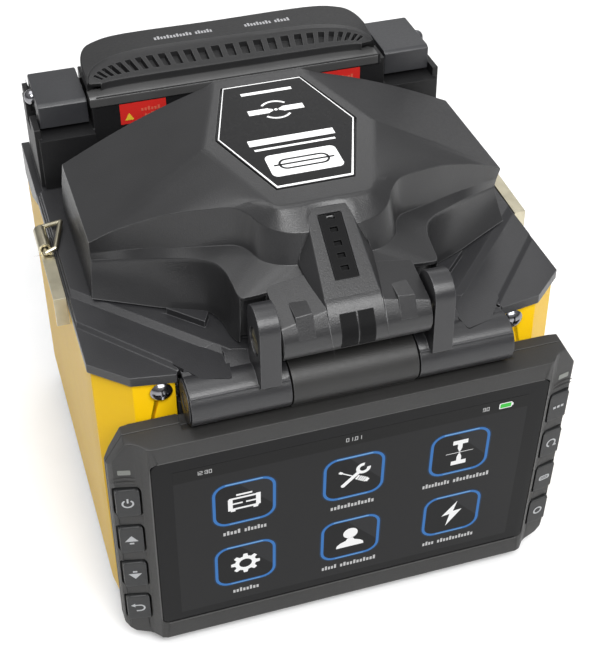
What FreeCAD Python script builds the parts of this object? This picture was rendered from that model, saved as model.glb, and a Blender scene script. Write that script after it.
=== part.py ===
"""Fusion splicer for optical fibre: one STEP file per separate piece.

While modelling, X runs across the case, Y is the depth behind the front hinge bar and Z is the
height above the table. Every piece is moved at the end so that the origin is the middle of the
footprint.
"""
import FreeCAD
import Part
import math
import os

V = FreeCAD.Vector
AXIS_X = V(1, 0, 0)
AXIS_Y = V(0, 1, 0)
AXIS_Z = V(0, 0, 1)
ZERO = V(0, 0, 0)
SIDES = {"left": -1, "right": 1}

# ---- driving dimensions, millimetres ----
HALF_W = 71.0            # half width over the yellow side panels
CASE_BACK = 146.0        # depth of the case behind the hinge bar
FOOT_H = 2.5
CASE_Z = 3.0             # underside of the case
TUB_TOP = 70.0           # top of the lower shell's walls
DECK_Z = 105.0           # top of the outer deck step
DECK_T = 3.0
DECK_BACK = 143.4
FAN = (0.0, 86.5)        # centre of the cooling fan in X and Z
DECK_STEPS = (106.1, 107.2)
STEP_SLOPE = (1.2, 2.1)   # how far the edge of the middle slab and of the top slab slopes
PANEL_T = 2.2
WALL = 2.2
GAP = 0.3                # clearance between neighbouring bodies
KEY_ROOM = 0.45          # clearance round each key

MON_TILT = 4.28          # lean of the screen, degrees
MON_TOP = 91.5
MON_BOTTOM = 4.0
MON_HALF = 71.2
LCD_TOP = 80.0           # top of the lit area, where the tilt is measured
BARREL_Y, BARREL_Z, BARREL_R = 7.2, 98.9, 7.2
BARREL_HALF = 18.4
BAR_IN, BAR_OUT = 18.8, 47.2
KEY_X, KEY_W, KEY_H, KEY_PITCH, KEY_TOP = 66.5, 6.8, 11.4, 16.4, 67.6
KEY_NAMES = {"left": ("key_power", "key_up", "key_down", "key_back"),
             "right": ("key_set", "key_restart", "key_heat", "key_arc")}

HOOD_Y, HOOD_Z, HOOD_R = 6.0, 116.0, 6.4
HOOD_HALF = 21.3
EAR_IN, EAR_OUT = 21.8, 27.8
PIN_R = 1.6
EAR_SWEEP = 11.9         # radius round the hood's axis that the ears' tops need
RIM_Z = 107.8

FIBRE_Y, FIBRE_Z = 66.0, 101.0
PLATE_Z = 70.0           # underside of the inner chassis plate

HEAT_FRONT = 117.0
LEDGE_TOP = 134.1         # strip in front of the oven lid
HEAT_BACK = 145.0
HEAT_TOP = 132.2
LID_HALF = 48.0
CLAMP_IN, CLAMP_OUT = 50.5, 66.4
CLAMP_AXIS = (139.5, 128.2)
LID_AXIS = (145.2, 130.6)

RING_X, RING_Z = 73.6, 107.2


# ---- small helpers ----
def box(x0, x1, y0, y1, z0, z1):
    return Part.makeBox(x1 - x0, y1 - y0, z1 - z0, V(x0, y0, z0))


def rod(axis, centre, radius, start, end):
    """Cylinder along X, Y or Z; centre holds the other two coordinates in order."""
    a, b = centre
    base = {"x": V(start, a, b), "y": V(a, start, b), "z": V(a, b, start)}[axis]
    direction = {"x": AXIS_X, "y": AXIS_Y, "z": AXIS_Z}[axis]
    return Part.makeCylinder(radius, end - start, base, direction)


def fuse(*shapes):
    out = shapes[0].multiFuse(list(shapes[1:])) if len(shapes) > 1 else shapes[0]
    return out.removeSplitter()


def cut(shape, *tools):
    for tool in tools:
        shape = shape.cut(tool)
    return shape


def mirrored(shape):
    return shape.mirror(ZERO, AXIS_X)


def both_sides(shape):
    return Part.makeCompound([shape, mirrored(shape)])


def on_side(shape, side):
    """The piece as modelled on the right, or its mirror image on the left."""
    return shape if SIDES[side] > 0 else mirrored(shape)


def prism_x(points, x0, x1):
    """Outline given as (y, z) points, from x0 to x1."""
    wire = Part.makePolygon([V(x0, y, z) for y, z in points + points[:1]])
    return Part.Face(wire).extrude(V(x1 - x0, 0, 0))


def prism_y(points, y0, y1):
    """Outline given as (x, z) points, from y0 to y1."""
    wire = Part.makePolygon([V(x, y0, z) for x, z in points + points[:1]])
    return Part.Face(wire).extrude(V(0, y1 - y0, 0))


def prism_z(points, z0, z1):
    """Outline given as (x, y) points, from z0 to z1."""
    wire = Part.makePolygon([V(x, y, z0) for x, y in points + points[:1]])
    return Part.Face(wire).extrude(V(0, 0, z1 - z0))


def mirror_outline(half):
    """A right-hand half outline joined to its left-hand image."""
    return half + [(-a, b) for a, b in reversed(half) if a > 0]


def rounded_box(x0, x1, y0, y1, z0, z1, radius, axis):
    """Box whose four edges along axis are rounded."""
    solid = box(x0, x1, y0, y1, z0, z1)
    edges = [e for e in solid.Edges if abs(e.tangentAt(e.FirstParameter).dot(axis)) > 0.99]
    return solid.makeFillet(radius, edges)


def tilted(shape):
    """Screen pieces are modelled upright, then lean back about the top of the lit area."""
    copy = shape.copy()
    copy.rotate(V(0, 0, LCD_TOP), AXIS_X, MON_TILT)
    return copy


# ---- lower case ----
FRONT_LEAN = math.tan(math.radians(MON_TILT))


def front_plane(z):
    """Depth of the case's front wall, which leans like the screen in front of it."""
    return 13.4 + (92.0 - z) * FRONT_LEAN


def base_shell():
    """Open tub with a taller front wall between the yellow corners and a skirt round the foot."""
    profile = [(front_plane(CASE_Z), CASE_Z), (CASE_BACK, CASE_Z), (CASE_BACK, TUB_TOP),
               (front_plane(TUB_TOP), TUB_TOP)]
    inner = [(profile[0][0] + WALL, CASE_Z + WALL), (CASE_BACK - WALL, CASE_Z + WALL),
             (CASE_BACK - WALL, TUB_TOP + 1), (profile[3][0] + WALL, TUB_TOP + 1)]
    tub = prism_x(profile, -67.5, 67.5).cut(prism_x(inner, -65.3, 65.3))
    low, high = 60.0, 93.6
    front = prism_x([(front_plane(low), low), (front_plane(low) + WALL, low),
                     (front_plane(high) + WALL, high), (front_plane(high), high)], -48.2, 48.2)
    skirt = cut(box(-69.6, 69.6, 26.0, 143.0, CASE_Z, 9.6),
                box(-67.4, 67.4, 20.0, 150.0, 0.0, 20.0))
    battery_door = box(-44.5, 44.5, 130.0, 150.0, 10.5, 51.5)
    spots = [(sx * 58.0, y) for sx in (-1, 1) for y in (30.0, 104.0)]
    bosses = [rod("z", spot, 4.0, CASE_Z + 1.0, PLATE_Z - 0.2) for spot in spots]
    screws = [rod("z", spot, 1.4, CASE_Z + 8.0, PLATE_Z + 2.0) for spot in spots]
    return cut(fuse(tub, front, skirt, *bosses), battery_door, *screws)


def side_panel():
    """Thin yellow cover: a side wall with two front facets, tapering slightly to the foot."""
    outline = [(48.6, 13.3), (60.4, 14.7), (70.2, 24.2), (HALF_W, 30.0), (HALF_W, CASE_BACK)]
    inset = [(HALF_W - PANEL_T, CASE_BACK), (HALF_W - PANEL_T, 30.8), (68.4, 25.3), (59.6, 16.9),
             (48.6, 15.5)]
    top = prism_z(outline + inset, 9.8, DECK_Z - DECK_T - 0.2)
    lean = prism_x([(0, 120), (front_plane(110) - 0.4, 110), (front_plane(0) - 0.4, 0), (0, 0)], 40, 75)
    below_facets = box(40.0, 67.7, 0.0, 30.0, 0.0, TUB_TOP + 0.2)
    screw_hole = rod("y", (52.6, 98.4), 1.5, 5.0, 25.0)
    return cut(top, lean, below_facets, screw_hole)


def deck_outline():
    return [(0.0, 19.0), (46.0, 19.0), (48.2, 11.8), (60.8, 13.9), (71.2, 23.6), (71.2, 112.0),
            (69.0, 114.0), (69.0, DECK_BACK), (0.0, DECK_BACK)]


def bevelled(slab, width):
    """A deck slab whose slanting edges slope from its full height down to its foot over width."""
    low, high = slab.BoundBox.ZMin, slab.BoundBox.ZMax
    out = slab
    for edge in slab.Edges:
        start, end = edge.Vertexes[0].Point, edge.Vertexes[-1].Point
        run = (end - start).normalize()
        if abs(start.z - high) > 0.01 or min(abs(run.x), abs(run.y)) < 0.1:
            continue
        inward = V(-run.y, run.x, 0)
        if not slab.isInside((start + end) / 2 + inward * 0.5 - V(0, 0, 0.3), 0.01, False):
            inward = inward * -1
        corner = start - run * 3
        foot = V(corner.x, corner.y, low)
        lift, slope_top = V(0, 0, 1), corner + inward * width
        wedge = Part.makePolygon([foot, foot - inward, corner - inward + lift, slope_top + lift, slope_top, foot])
        out = out.cut(Part.Face(wedge).extrude((end - start) + run * 6))
    return out


def top_deck():
    """Wing-shaped deck: an outer step, a middle slab and an inner slab, with bevelled step edges."""
    plate = prism_z(mirror_outline(deck_outline()), DECK_Z - DECK_T, DECK_Z)
    middle = [(0.0, 20.0), (46.0, 20.0), (47.3, 12.6), (70.6, 40.0), (70.6, 110.0), (0.0, 110.0)]
    inner = [(0.0, 20.5), (34.6, 20.5), (34.6, 14.5), (70.0, 53.4), (70.0, 110.0), (0.0, 110.0)]
    mid_slab = bevelled(prism_z(mirror_outline(middle), DECK_Z, DECK_STEPS[0]), STEP_SLOPE[0])
    top_slab = bevelled(prism_z(mirror_outline(inner), DECK_STEPS[0], DECK_STEPS[1]), STEP_SLOPE[1])
    wedge = prism_z([(45.6, 36.0), (36.4, 26.4), (34.4, 30.4), (35.6, 31.6)], DECK_STEPS[1], 109.4)
    chamber = box(-46.0, 46.0, 40.0, 94.0, 90.0, 115.0)
    chamfer_edge = prism_z([(46.0, 19.0), (46.0, 8.0), (30.0, 8.0), (30.0, 19.0)], 90.0, 120.0)
    deck = fuse(plate, mid_slab, top_slab, wedge, mirrored(wedge))
    deck = cut(deck, chamber, chamfer_edge, mirrored(chamfer_edge))
    skirt = cut(box(-68.4, 68.4, 30.6, 111.0, 96.0, DECK_Z - DECK_T),
                box(-66.4, 66.4, 20.0, 109.0, 90.0, 110.0))
    return fuse(deck, skirt, chamber_well())


def chamber_well():
    """Well under the hood that carries the splicing parts."""
    outer = box(-46.5, 46.5, 39.5, 94.5, 90.0, DECK_STEPS[0])
    inner = box(-43.5, 43.5, 42.5, 91.5, 92.0, 120.0)
    window = fuse(box(-13.5, 13.5, 45.0, 87.0, 80.0, 100.0), box(-23.6, 23.6, 53.4, 78.6, 80.0, 100.0))
    rails = [box(x, x + 13.0, y, y + 2.0, 91.5, 92.7) for x in (24.6, -37.6) for y in (60.0, 70.0)]
    slots = box(24.0, 38.0, 64.0, 68.0, 80.0, 100.0)
    return fuse(cut(outer, inner, window, slots, mirrored(slots)), *rails)


def hinge_yoke():
    """Front bar in two halves, two upright ears and the web that joins them behind the barrels."""
    crease, ridge = (1.7, 103.8), (14.4, 107.0)
    facet = [crease, ridge, (18.6, 107.0), (18.6, 97.0), (7.0, 95.0)]
    bar = fuse(rod("x", (BARREL_Y, BARREL_Z), BARREL_R, BAR_IN, BAR_OUT),
               prism_x(facet, BAR_IN, BAR_OUT))
    relief = prism_z([(46.6, 11.0), (60.0, 11.0), (60.0, 20.0), (44.4, 20.0)], 90.0, 112.0)
    ear = fuse(box(EAR_IN, EAR_OUT, -0.3, 12.4, 104.0, 120.9),
               rod("x", (6.05, 120.9), 6.35, EAR_IN, EAR_OUT),
               box(EAR_IN, EAR_OUT, 8.0, 18.6, 98.0, 107.0))
    pin_hole = rod("x", (HOOD_Y, HOOD_Z), PIN_R, EAR_IN - 1, EAR_OUT + 1)
    pin_recess = rod("x", (HOOD_Y, HOOD_Z), 4.2, EAR_OUT - 1.6, EAR_OUT + 1)
    low_pin = rod("x", (BARREL_Y, BARREL_Z), 2.0, BAR_IN - 1, BAR_IN + 14)
    step = box(34.4, BAR_OUT + 1, 6.0, 20.0, DECK_STEPS[0], 108.0)
    half = cut(fuse(bar, ear), relief, pin_hole, pin_recess, low_pin, step)
    web = box(-EAR_IN - 1, EAR_IN + 1, 15.4, 18.6, 94.0, 107.0)
    return fuse(half, mirrored(half), web)


def bar_end_caps():
    cap = cut(rod("x", (BARREL_Y, BARREL_Z), 6.5, BAR_OUT, BAR_OUT + 0.5),
              rod("x", (BARREL_Y, BARREL_Z), 2.6, BAR_OUT + 0.3, BAR_OUT + 2.0))
    return both_sides(cap)


def hinge_pins():
    """Two headed pins in the ears for the hood, two plain ones in the bar for the screen."""
    shank = rod("x", (HOOD_Y, HOOD_Z), PIN_R, EAR_IN - 7.0, EAR_OUT - 1.0)
    head = rod("x", (HOOD_Y, HOOD_Z), 3.6, EAR_OUT - 1.6, EAR_OUT - 0.6)
    slot = box(EAR_OUT - 0.9, EAR_OUT, HOOD_Y - 3.2, HOOD_Y + 3.2, HOOD_Z - 0.4, HOOD_Z + 0.4)
    plain = rod("x", (BARREL_Y, BARREL_Z), 2.0, BARREL_HALF - 7.0, BAR_IN + 14.0)
    return Part.makeCompound([both_sides(fuse(shank, head).cut(slot)), both_sides(plain)])


def screw_along_y(x, z, y, radius, length):
    """Dome-head cross-slot screw whose head faces the front at depth y."""
    sphere = Part.makeSphere(radius * 1.25, V(x, y + radius * 0.75, z))
    head = sphere.common(box(x - radius, x + radius, y - radius, y, z - radius, z + radius))
    shank = rod("y", (x, z), radius * 0.45, y - 0.1, y + length)
    arm = radius * 0.55
    cross = fuse(box(x - arm, x + arm, y - 9, y - radius * 0.2, z - 0.3, z + 0.3),
                 box(x - 0.3, x + 0.3, y - 9, y - radius * 0.2, z - arm, z + arm))
    return fuse(head, shank).cut(cross)


def panel_screws():
    front = [screw_along_y(sx * 52.6, 98.4, 13.3, 3.2, 1.6) for sx in (-1, 1)]
    return Part.makeCompound(front)


def rubber_feet():
    feet = []
    for sx in (-1, 1):
        for y in (34.0, 132.0):
            foot = Part.makeCone(5.6, 6.6, FOOT_H + 0.5, V(sx * 55.0, y, 0.0))
            feet.append(foot.common(box(-80, 80, 0, 160, 0, CASE_Z)))
    return Part.makeCompound(feet)


def rear_panel():
    """Upper back wall with the fan grille and the openings for the sockets."""
    y0, y1 = CASE_BACK - WALL, CASE_BACK
    plate = box(-66.0, 66.0, y0, y1, TUB_TOP + 0.2, 120.0)
    opening = rod("y", FAN, 13.5, y0 - 1, y1 + 1)
    ports = [box(-58.0, -46.0, 140, 150, 80.0, 86.0), box(-58.0, -49.0, 140, 150, 92.0, 95.5)]
    jack = rod("y", (53.0, 84.0), 4.2, 140, 150)
    spokes = [box(-14.0, 14.0, y0, y1, FAN[1] - 0.8, FAN[1] + 0.8),
              box(-0.8, 0.8, y0, y1, FAN[1] - 14.0, FAN[1] + 14.0)]
    rings = [rod("y", FAN, r + 0.7, y0, y1).cut(rod("y", FAN, r - 0.7, y0 - 1, y1 + 1))
             for r in (4.6, 9.2)]
    return fuse(cut(plate, opening, *ports, jack), *spokes, *rings)


def rear_ports():
    usb = cut(box(-57.8, -46.2, 134.0, CASE_BACK - 0.4, 80.2, 85.8),
              box(-57.0, -47.0, 138.0, 150, 81.0, 85.0))
    small = cut(box(-57.8, -49.2, 137.0, CASE_BACK - 0.4, 92.2, 95.3),
                box(-57.2, -49.8, 140.0, 150, 92.8, 94.7))
    jack = cut(rod("y", (53.0, 84.0), 4.0, 133.0, CASE_BACK - 0.2),
               rod("y", (53.0, 84.0), 2.8, 136.0, 150.0))
    contact = rod("y", (53.0, 84.0), 0.9, 134.0, 144.5)
    return Part.makeCompound([usb, small, fuse(jack, contact)])


def fan_frame():
    x, z = FAN
    frame = cut(box(x - 15.0, x + 15.0, 133.0, 143.6, z - 15.0, z + 15.0), rod("y", FAN, 14.0, 130, 145))
    arms = box(x - 14.5, x + 14.5, 133.0, 134.2, z - 1.2, z + 1.2)
    return fuse(frame, arms, rod("y", FAN, 3.5, 133.0, 135.0), rod("y", FAN, 1.0, 134.0, 140.0))


def fan_rotor():
    x, z = FAN
    hub = rod("y", FAN, 5.0, 135.6, 142.8)
    blades = []
    for i in range(7):
        blade = box(4.0, 13.2, 138.4, 139.6, z - 2.6, z + 2.6)
        blade.rotate(V(9, 139.0, z), AXIS_X, 35)
        blade.rotate(V(x, 0, z), AXIS_Y, i * 360.0 / 7)
        blades.append(blade)
    bore = rod("y", FAN, 1.05, 130.0, 140.4)
    return fuse(hub, *blades).cut(bore)


# ---- battery ----
def battery_pack():
    body = rounded_box(-44.0, 44.0, 62.0, CASE_BACK, 11.0, 51.0, 2.0, AXIS_Y)
    grip = box(-20.0, 20.0, CASE_BACK - 2.5, CASE_BACK + 1, 26.0, 36.0)
    return cut(body, grip)


def battery_contacts():
    block = box(-14.0, 14.0, 57.0, 59.4, 20.0, 40.0)
    blades = [box(x - 0.5, x + 0.5, 59.4, 61.6, 24.0, 36.0) for x in (-9.0, -3.0, 3.0, 9.0)]
    return fuse(block, *blades)


# ---- electronics and inner frame ----
def chassis_plate():
    plate = box(-62.0, 62.0, 24.0, 112.0, PLATE_Z, PLATE_Z + 3.0)
    window = box(-7.7, 7.7, 40.0, 92.0, PLATE_Z - 1, PLATE_Z + 4)
    holes = [rod("z", (sx * 58.0, y), 1.5, PLATE_Z - 1, PLATE_Z + 4)
             for sx in (-1, 1) for y in (30.0, 104.0)]
    pillars = [box(sx * 42.0 - 3, sx * 42.0 + 3, y - 3, y + 3, PLATE_Z + 3.0, 89.8)
               for sx in (-1, 1) for y in (46.0, 88.0)]
    return fuse(cut(plate, window, *holes), *pillars)


def main_board():
    board = box(-53.0, 53.0, 26.0, 54.0, 56.0, 57.6)
    chips = [box(-40.0, -26.0, 32.0, 46.0, 57.6, 59.4), box(-10.0, 4.0, 34.0, 48.0, 57.6, 59.2),
             box(20.0, 44.0, 32.0, 40.0, 57.6, 60.6)]
    return fuse(board, *chips)


def arc_supply():
    board = box(14.0, 50.0, 96.0, 128.0, 54.5, 56.0)
    transformer = fuse(box(20.0, 38.0, 100.0, 120.0, 56.0, 66.0),
                       rod("z", (44.5, 104.0), 3.0, 56.0, 66.0))
    return fuse(board, transformer)


def splice_bench():
    """Machined block on the plate that sets the height of everything round the arc."""
    pillar = box(14.0, 23.0, 54.0, 78.0, PLATE_Z + 3.2, 95.0)
    bridge = box(-14.0, 14.0, 76.4, 78.0, PLATE_Z + 3.2, 80.0)
    return fuse(pillar, mirrored(pillar), bridge)


def vgroove(side):
    block = box(2.6, 22.6, 61.0, 71.0, 95.2, FIBRE_Z)
    groove = prism_x([(FIBRE_Y - 1.0, FIBRE_Z + 0.1), (FIBRE_Y + 1.0, FIBRE_Z + 0.1),
                      (FIBRE_Y, FIBRE_Z - 0.9)], 0.0, 30.0)
    return on_side(block.cut(groove), side)


def pair(make):
    """The front and rear copies of a piece, front = 1 and rear = -1."""
    return Part.makeCompound([make(1), make(-1)])


def electrode(front):
    """Tungsten needle pointing at the fibre, thin and tapered."""
    tip, turn = FIBRE_Y - front * 1.2, -front
    shank = rod("y", (0.0, FIBRE_Z), 1.0, *sorted((tip + turn * 4.0, tip + turn * 22.0)))
    cone = Part.makeCone(0.15, 1.0, 4.0, V(0, tip, FIBRE_Z), V(0, turn, 0))
    return fuse(shank, cone)


def electrode_holder(front):
    near, far = FIBRE_Y - front * 11.0, FIBRE_Y - front * 20.0
    y0, y1 = sorted((near, far))
    block = box(-7.0, 7.0, y0, y1, FIBRE_Z - 5.0, FIBRE_Z + 4.0)
    bore = rod("y", (0.0, FIBRE_Z), 1.02, y0 - 1, y1 + 1)
    bar = box(-12.8, 12.8, y0 + 1.5, y1 - 1.5, FIBRE_Z - 5.0, FIBRE_Z - 2.4)
    legs = [box(x, x + 4.6, y0 + 1.5, y1 - 1.5, PLATE_Z + 3.1, FIBRE_Z - 4.0) for x in (-12.8, 8.2)]
    return cut(fuse(block, bar, *legs), bore)


def objective(front):
    """Microscope tube aimed at the fibre from below at 45 degrees, with its camera behind it."""
    direction = V(0, -front, -1).normalize()
    start = V(0, FIBRE_Y, FIBRE_Z) + direction * 12.5
    barrel = Part.makeCylinder(4.2, 11.0, start, direction)
    neck = Part.makeCylinder(3.2, 4.0, start + direction * 11.0, direction)
    aperture = Part.makeCylinder(2.6, 1.5, start, direction)
    return fuse(barrel, neck).cut(aperture)


def camera(front):
    direction = V(0, -front, -1).normalize()
    start = V(0, FIBRE_Y, FIBRE_Z) + direction * 27.7
    cube = Part.makeBox(13.0, 11.0, 6.0, V(-6.5, -5.5, 0))
    cube.Placement = FreeCAD.Placement(start, FreeCAD.Rotation(AXIS_Z, direction))
    return cube


def fibre_stage(side):
    """Carriage that feeds the fibre along X, with the tail that its motor pushes."""
    table = box(25.0, 37.0, 58.0, 74.0, 93.0, 97.6)
    groove = prism_x([(FIBRE_Y - 0.8, 97.7), (FIBRE_Y + 0.8, 97.7), (FIBRE_Y, 96.9)], 20.0, 50.0)
    tail = box(29.0, 33.0, 64.6, 67.4, 80.6, 93.0)
    lugs = [box(x, x + 2.0, 74.0, 78.0, 93.0, 99.6) for x in (26.0, 34.0)]
    shape = fuse(table, tail, *lugs)
    pin = rod("x", (76.0, 98.0), 0.8, 26.5, 35.5)
    return on_side(fuse(cut(shape, groove), pin), side)


def sheath_clamp(side):
    """Hinged jaw that holds the coated fibre on its carriage."""
    knuckle = rod("x", (76.0, 98.0), 1.7, 28.3, 33.7)
    jaw = fuse(box(28.3, 33.7, 58.4, 76.0, 98.2, 101.4), box(29.5, 32.5, 55.2, 58.4, 99.6, 101.4))
    bore = rod("x", (76.0, 98.0), 0.85, 24.0, 38.0)
    clear = rod("x", (76.0, 98.0), 1.0, 24.0, 38.0).common(box(20, 40, 70, 80, 90, 97.8))
    return on_side(cut(fuse(knuckle, jaw), bore, clear), side)


def feed_motor(side):
    can = rod("x", (FIBRE_Y, 84.0), 5.4, 44.2, 60.0)
    flange = box(42.6, 44.2, 60.0, 72.0, 78.0, 89.6)
    shaft = rod("x", (FIBRE_Y, 84.0), 1.2, 34.8, 42.6)
    return on_side(fuse(can, flange, shaft), side)


# ---- heater ----
def heater_housing():
    """Oven body across the back: front wall, end cheeks, ledge, open trough and the hinge lugs."""
    back = HEAT_BACK - 2.0
    floor = DECK_Z + 0.2
    core = box(-49.6, 49.6, HEAT_FRONT, back, floor, HEAT_TOP)
    ledge = box(-LID_HALF, LID_HALF, HEAT_FRONT - 0.4, HEAT_FRONT + 4.0, HEAT_TOP - 1.7, LEDGE_TOP)
    cheek = box(49.6, 67.6, HEAT_FRONT - 3.0, back, floor, 122.8)
    outer = box(66.8, 68.8, HEAT_FRONT - 1.0, back - 1.0, floor, 126.0)
    trough = box(-80.0, 80.0, 126.5, 134.5, 120.0, 140.0)
    cavity = box(-47.0, 47.0, 121.0, 139.5, 108.0, 129.8)
    lid_recess = box(-46.0, 46.0, 121.0, 139.5, 129.0, 140.0)
    post = box(66.9, 68.5, 136.0, 142.6, 120.0, 129.4)
    pin = rod("x", CLAMP_AXIS, 1.2, 49.4, 68.5)
    lugs = [fuse(box(x, x + 3.2, back - 1, 147.1, 122.0, LID_AXIS[1]),
                 rod("x", LID_AXIS, 1.9, x, x + 3.2)) for x in (24.5, 38.3)]
    half = fuse(cheek, outer, post, pin, *lugs)
    body = cut(fuse(core, ledge), trough, cavity, lid_recess)
    lid_pin_way = rod("x", LID_AXIS, 0.86, -60.0, 60.0)
    cheek_trough = cut(half, box(49.0, 80.0, 126.5, 134.5, 120.0, 126.4))
    return cut(fuse(body, cheek_trough, mirrored(cheek_trough)), lid_pin_way)


def heater_trough():
    """Bent aluminium channel that the protection sleeve lies in."""
    return cut(box(-46.0, 46.0, 127.0, 134.0, 119.6, 126.0),
               box(-46.1, 46.1, 128.0, 133.0, 120.8, 127.0))


def heater_element():
    return box(-42.0, 42.0, 126.6, 134.4, 117.6, 119.4)


def heater_labels():
    """Two plain red patches on the front wall of the oven."""
    return both_sides(box(25.6, 40.8, HEAT_FRONT - 0.35, HEAT_FRONT, 122.9, 130.2))


def heater_lid():
    section = [(121.5, 132.7), (121.5, 135.6), (124.0, 137.0), (133.5, 140.4), (144.0, 140.4),
               (146.8, 137.6), (146.8, 132.7)]
    bulk = prism_x(section, -LID_HALF, LID_HALF)
    plan = [(0.0, 110.0), (LID_HALF, 110.0)]
    plan += [(LID_HALF - 13.0 + 13.0 * math.cos(math.radians(a)), 133.8 + 13.0 * math.sin(math.radians(a)))
             for a in range(0, 91, 15)]
    plan += [(0.0, 146.8)]
    lid = bulk.common(prism_z(mirror_outline(plan), 120.0, 150.0))
    hollow = box(-44.0, 44.0, 123.5, 141.0, 130.0, 134.4)
    slots = []
    for i in range(-11, 12):
        slots.append(box(i * 3.4 - 0.8, i * 3.4 + 0.8, 125.0, 132.6, 136.6, 145.0))
    lid = cut(lid, hollow, *slots)
    knuckles = [rod("x", LID_AXIS, 1.9, x, x + 10.0) for x in (-38.0, 28.0)]
    arms = [box(x, x + 10.0, 143.4, 147.0, LID_AXIS[1], 133.0) for x in (-38.0, 28.0)]
    bore = rod("x", LID_AXIS, 0.9, -60.0, 60.0)
    return cut(fuse(lid, *knuckles, *arms), bore)


def heater_lid_pin():
    return rod("x", LID_AXIS, 0.86, -40.2, 40.2)


def end_clamp(side):
    """Grey hinged block at each end of the oven, with a front lip."""
    section = [(119.4, 124.4), (119.4, 131.9), (120.6, 132.7), (142.0, 132.7), (142.0, 125.8),
               (140.4, 124.4)]
    block = prism_x(section, CLAMP_IN, CLAMP_OUT)
    hollow = box(CLAMP_IN + 1.8, CLAMP_OUT - 1.8, 121.2, 135.5, 123.0, 130.8)
    sleeve_way = box(CLAMP_IN - 1, CLAMP_OUT + 1, 127.0, 134.0, 123.0, 127.0)
    bore = rod("x", CLAMP_AXIS, 1.25, CLAMP_IN - 1, CLAMP_OUT + 1)
    return on_side(cut(block, hollow, sleeve_way, bore), side)


def clamp_screw(side):
    head = Part.makeSphere(2.6, V(CLAMP_OUT + 0.2, 132.0, 129.6)).common(
        box(CLAMP_OUT + 0.05, CLAMP_OUT + 4.0, 125.0, 140.0, 120.0, 140.0))
    return on_side(head, side)


# ---- strap brackets ----
def strap_bracket(side):
    """Folded sheet strap anchor: a foot on the side wall, a run and a rolled knuckle."""
    foot = box(71.3, 75.0, 54.4, 55.6, 95.6, 105.4)
    run = prism_x([(54.4, 104.2), (54.4, 105.4), (78.0, 106.4), (78.0, 105.2)], 71.3, 75.0)
    wall = box(71.3, 72.2, 55.6, 88.0, 98.6, 104.6)
    knuckle = cut(rod("y", (RING_X, RING_Z), 2.0, 77.8, 88.4),
                  rod("y", (RING_X, RING_Z), 1.05, 70.0, 95.0))
    stem = box(71.9, 73.2, 77.8, 88.0, 103.0, 105.8)
    return on_side(fuse(foot, run, wall, knuckle, stem), side)


def strap_ring(side):
    """Wire triangle: one leg turns in the knuckle, the point leans in over the deck."""
    wire_r = 0.75
    a, b = V(RING_X, 75.9, RING_Z), V(RING_X, 90.0, RING_Z)
    c, d = V(66.9, 88.6, 108.9), V(70.5, 76.5, 108.0)
    pieces = []
    for p, q in ((a, b), (b, c), (c, d), (d, a)):
        pieces.append(Part.makeCylinder(wire_r, (q - p).Length, p, q - p))
        pieces.append(Part.makeSphere(wire_r, p))
    return on_side(fuse(*pieces), side)


# ---- hood ----
def hood_rows(squeeze):
    """Half outlines of the hood, from the rim up to the edge of the plateau."""
    def plateau(y):
        return 140.2 + 0.038 * y
    rim = [(0, 15.3, RIM_Z), (8.5, 15.3, RIM_Z), (22.0, 15.3, RIM_Z), (29.2, 17.0, RIM_Z),
           (31.2, 24.0, RIM_Z), (34.5, 32.6, RIM_Z), (46.0, 38.3, RIM_Z), (64.5, 48.5, RIM_Z)]
    low = [(0, 15.0, 124.6), (8.5, 15.0, 124.6), (22.0, 15.2, 124.6), (29.0, 16.5, 124.0),
           (29.5, 26.9, 125.5), (33.7, 33.7, 125.5), (47.3, 44.3, 121.5), (63.3, 52.6, 118.2)]
    mid = [(0, 20.7, 127.5), (10.7, 20.7, 127.5), (17.4, 23.1, 127.5), (19.9, 26.2, 127.4),
           (21.9, 31.5, 127.4), (24.4, 34.8, 127.3), (46.8, 45.8, 123.5), (63.2, 52.9, 120.7)]
    high = [(0, 24.6, 134.7), (8.7, 24.9, 134.7), (15.5, 28.9, 133.8), (17.5, 29.8, 136.0),
            (19.3, 31.1, 137.5), (23.0, 35.4, 139.1), (44.0, 44.2, 135.3), (63.2, 51.1, 125.6)]
    top = [(0, 29.3), (7.0, 29.3), (13.8, 29.3), (14.8, 32.0), (16.4, 36.3), (18.5, 42.0),
           (26.3, 63.0), (26.3, 63.0)]
    rows = [rim, low, mid, high, [(x, y, plateau(y)) for x, y in top]]
    back = [(64.4, 99.0, RIM_Z), (63.4, 95.5, 125.0), (13.9, 97.8, plateau(97.8)), (0, 97.8, plateau(97.8)),
            (0, 101.0, RIM_Z)]
    return [[squeeze(p) for p in row] for row in rows], [squeeze(p) for p in back]


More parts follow.
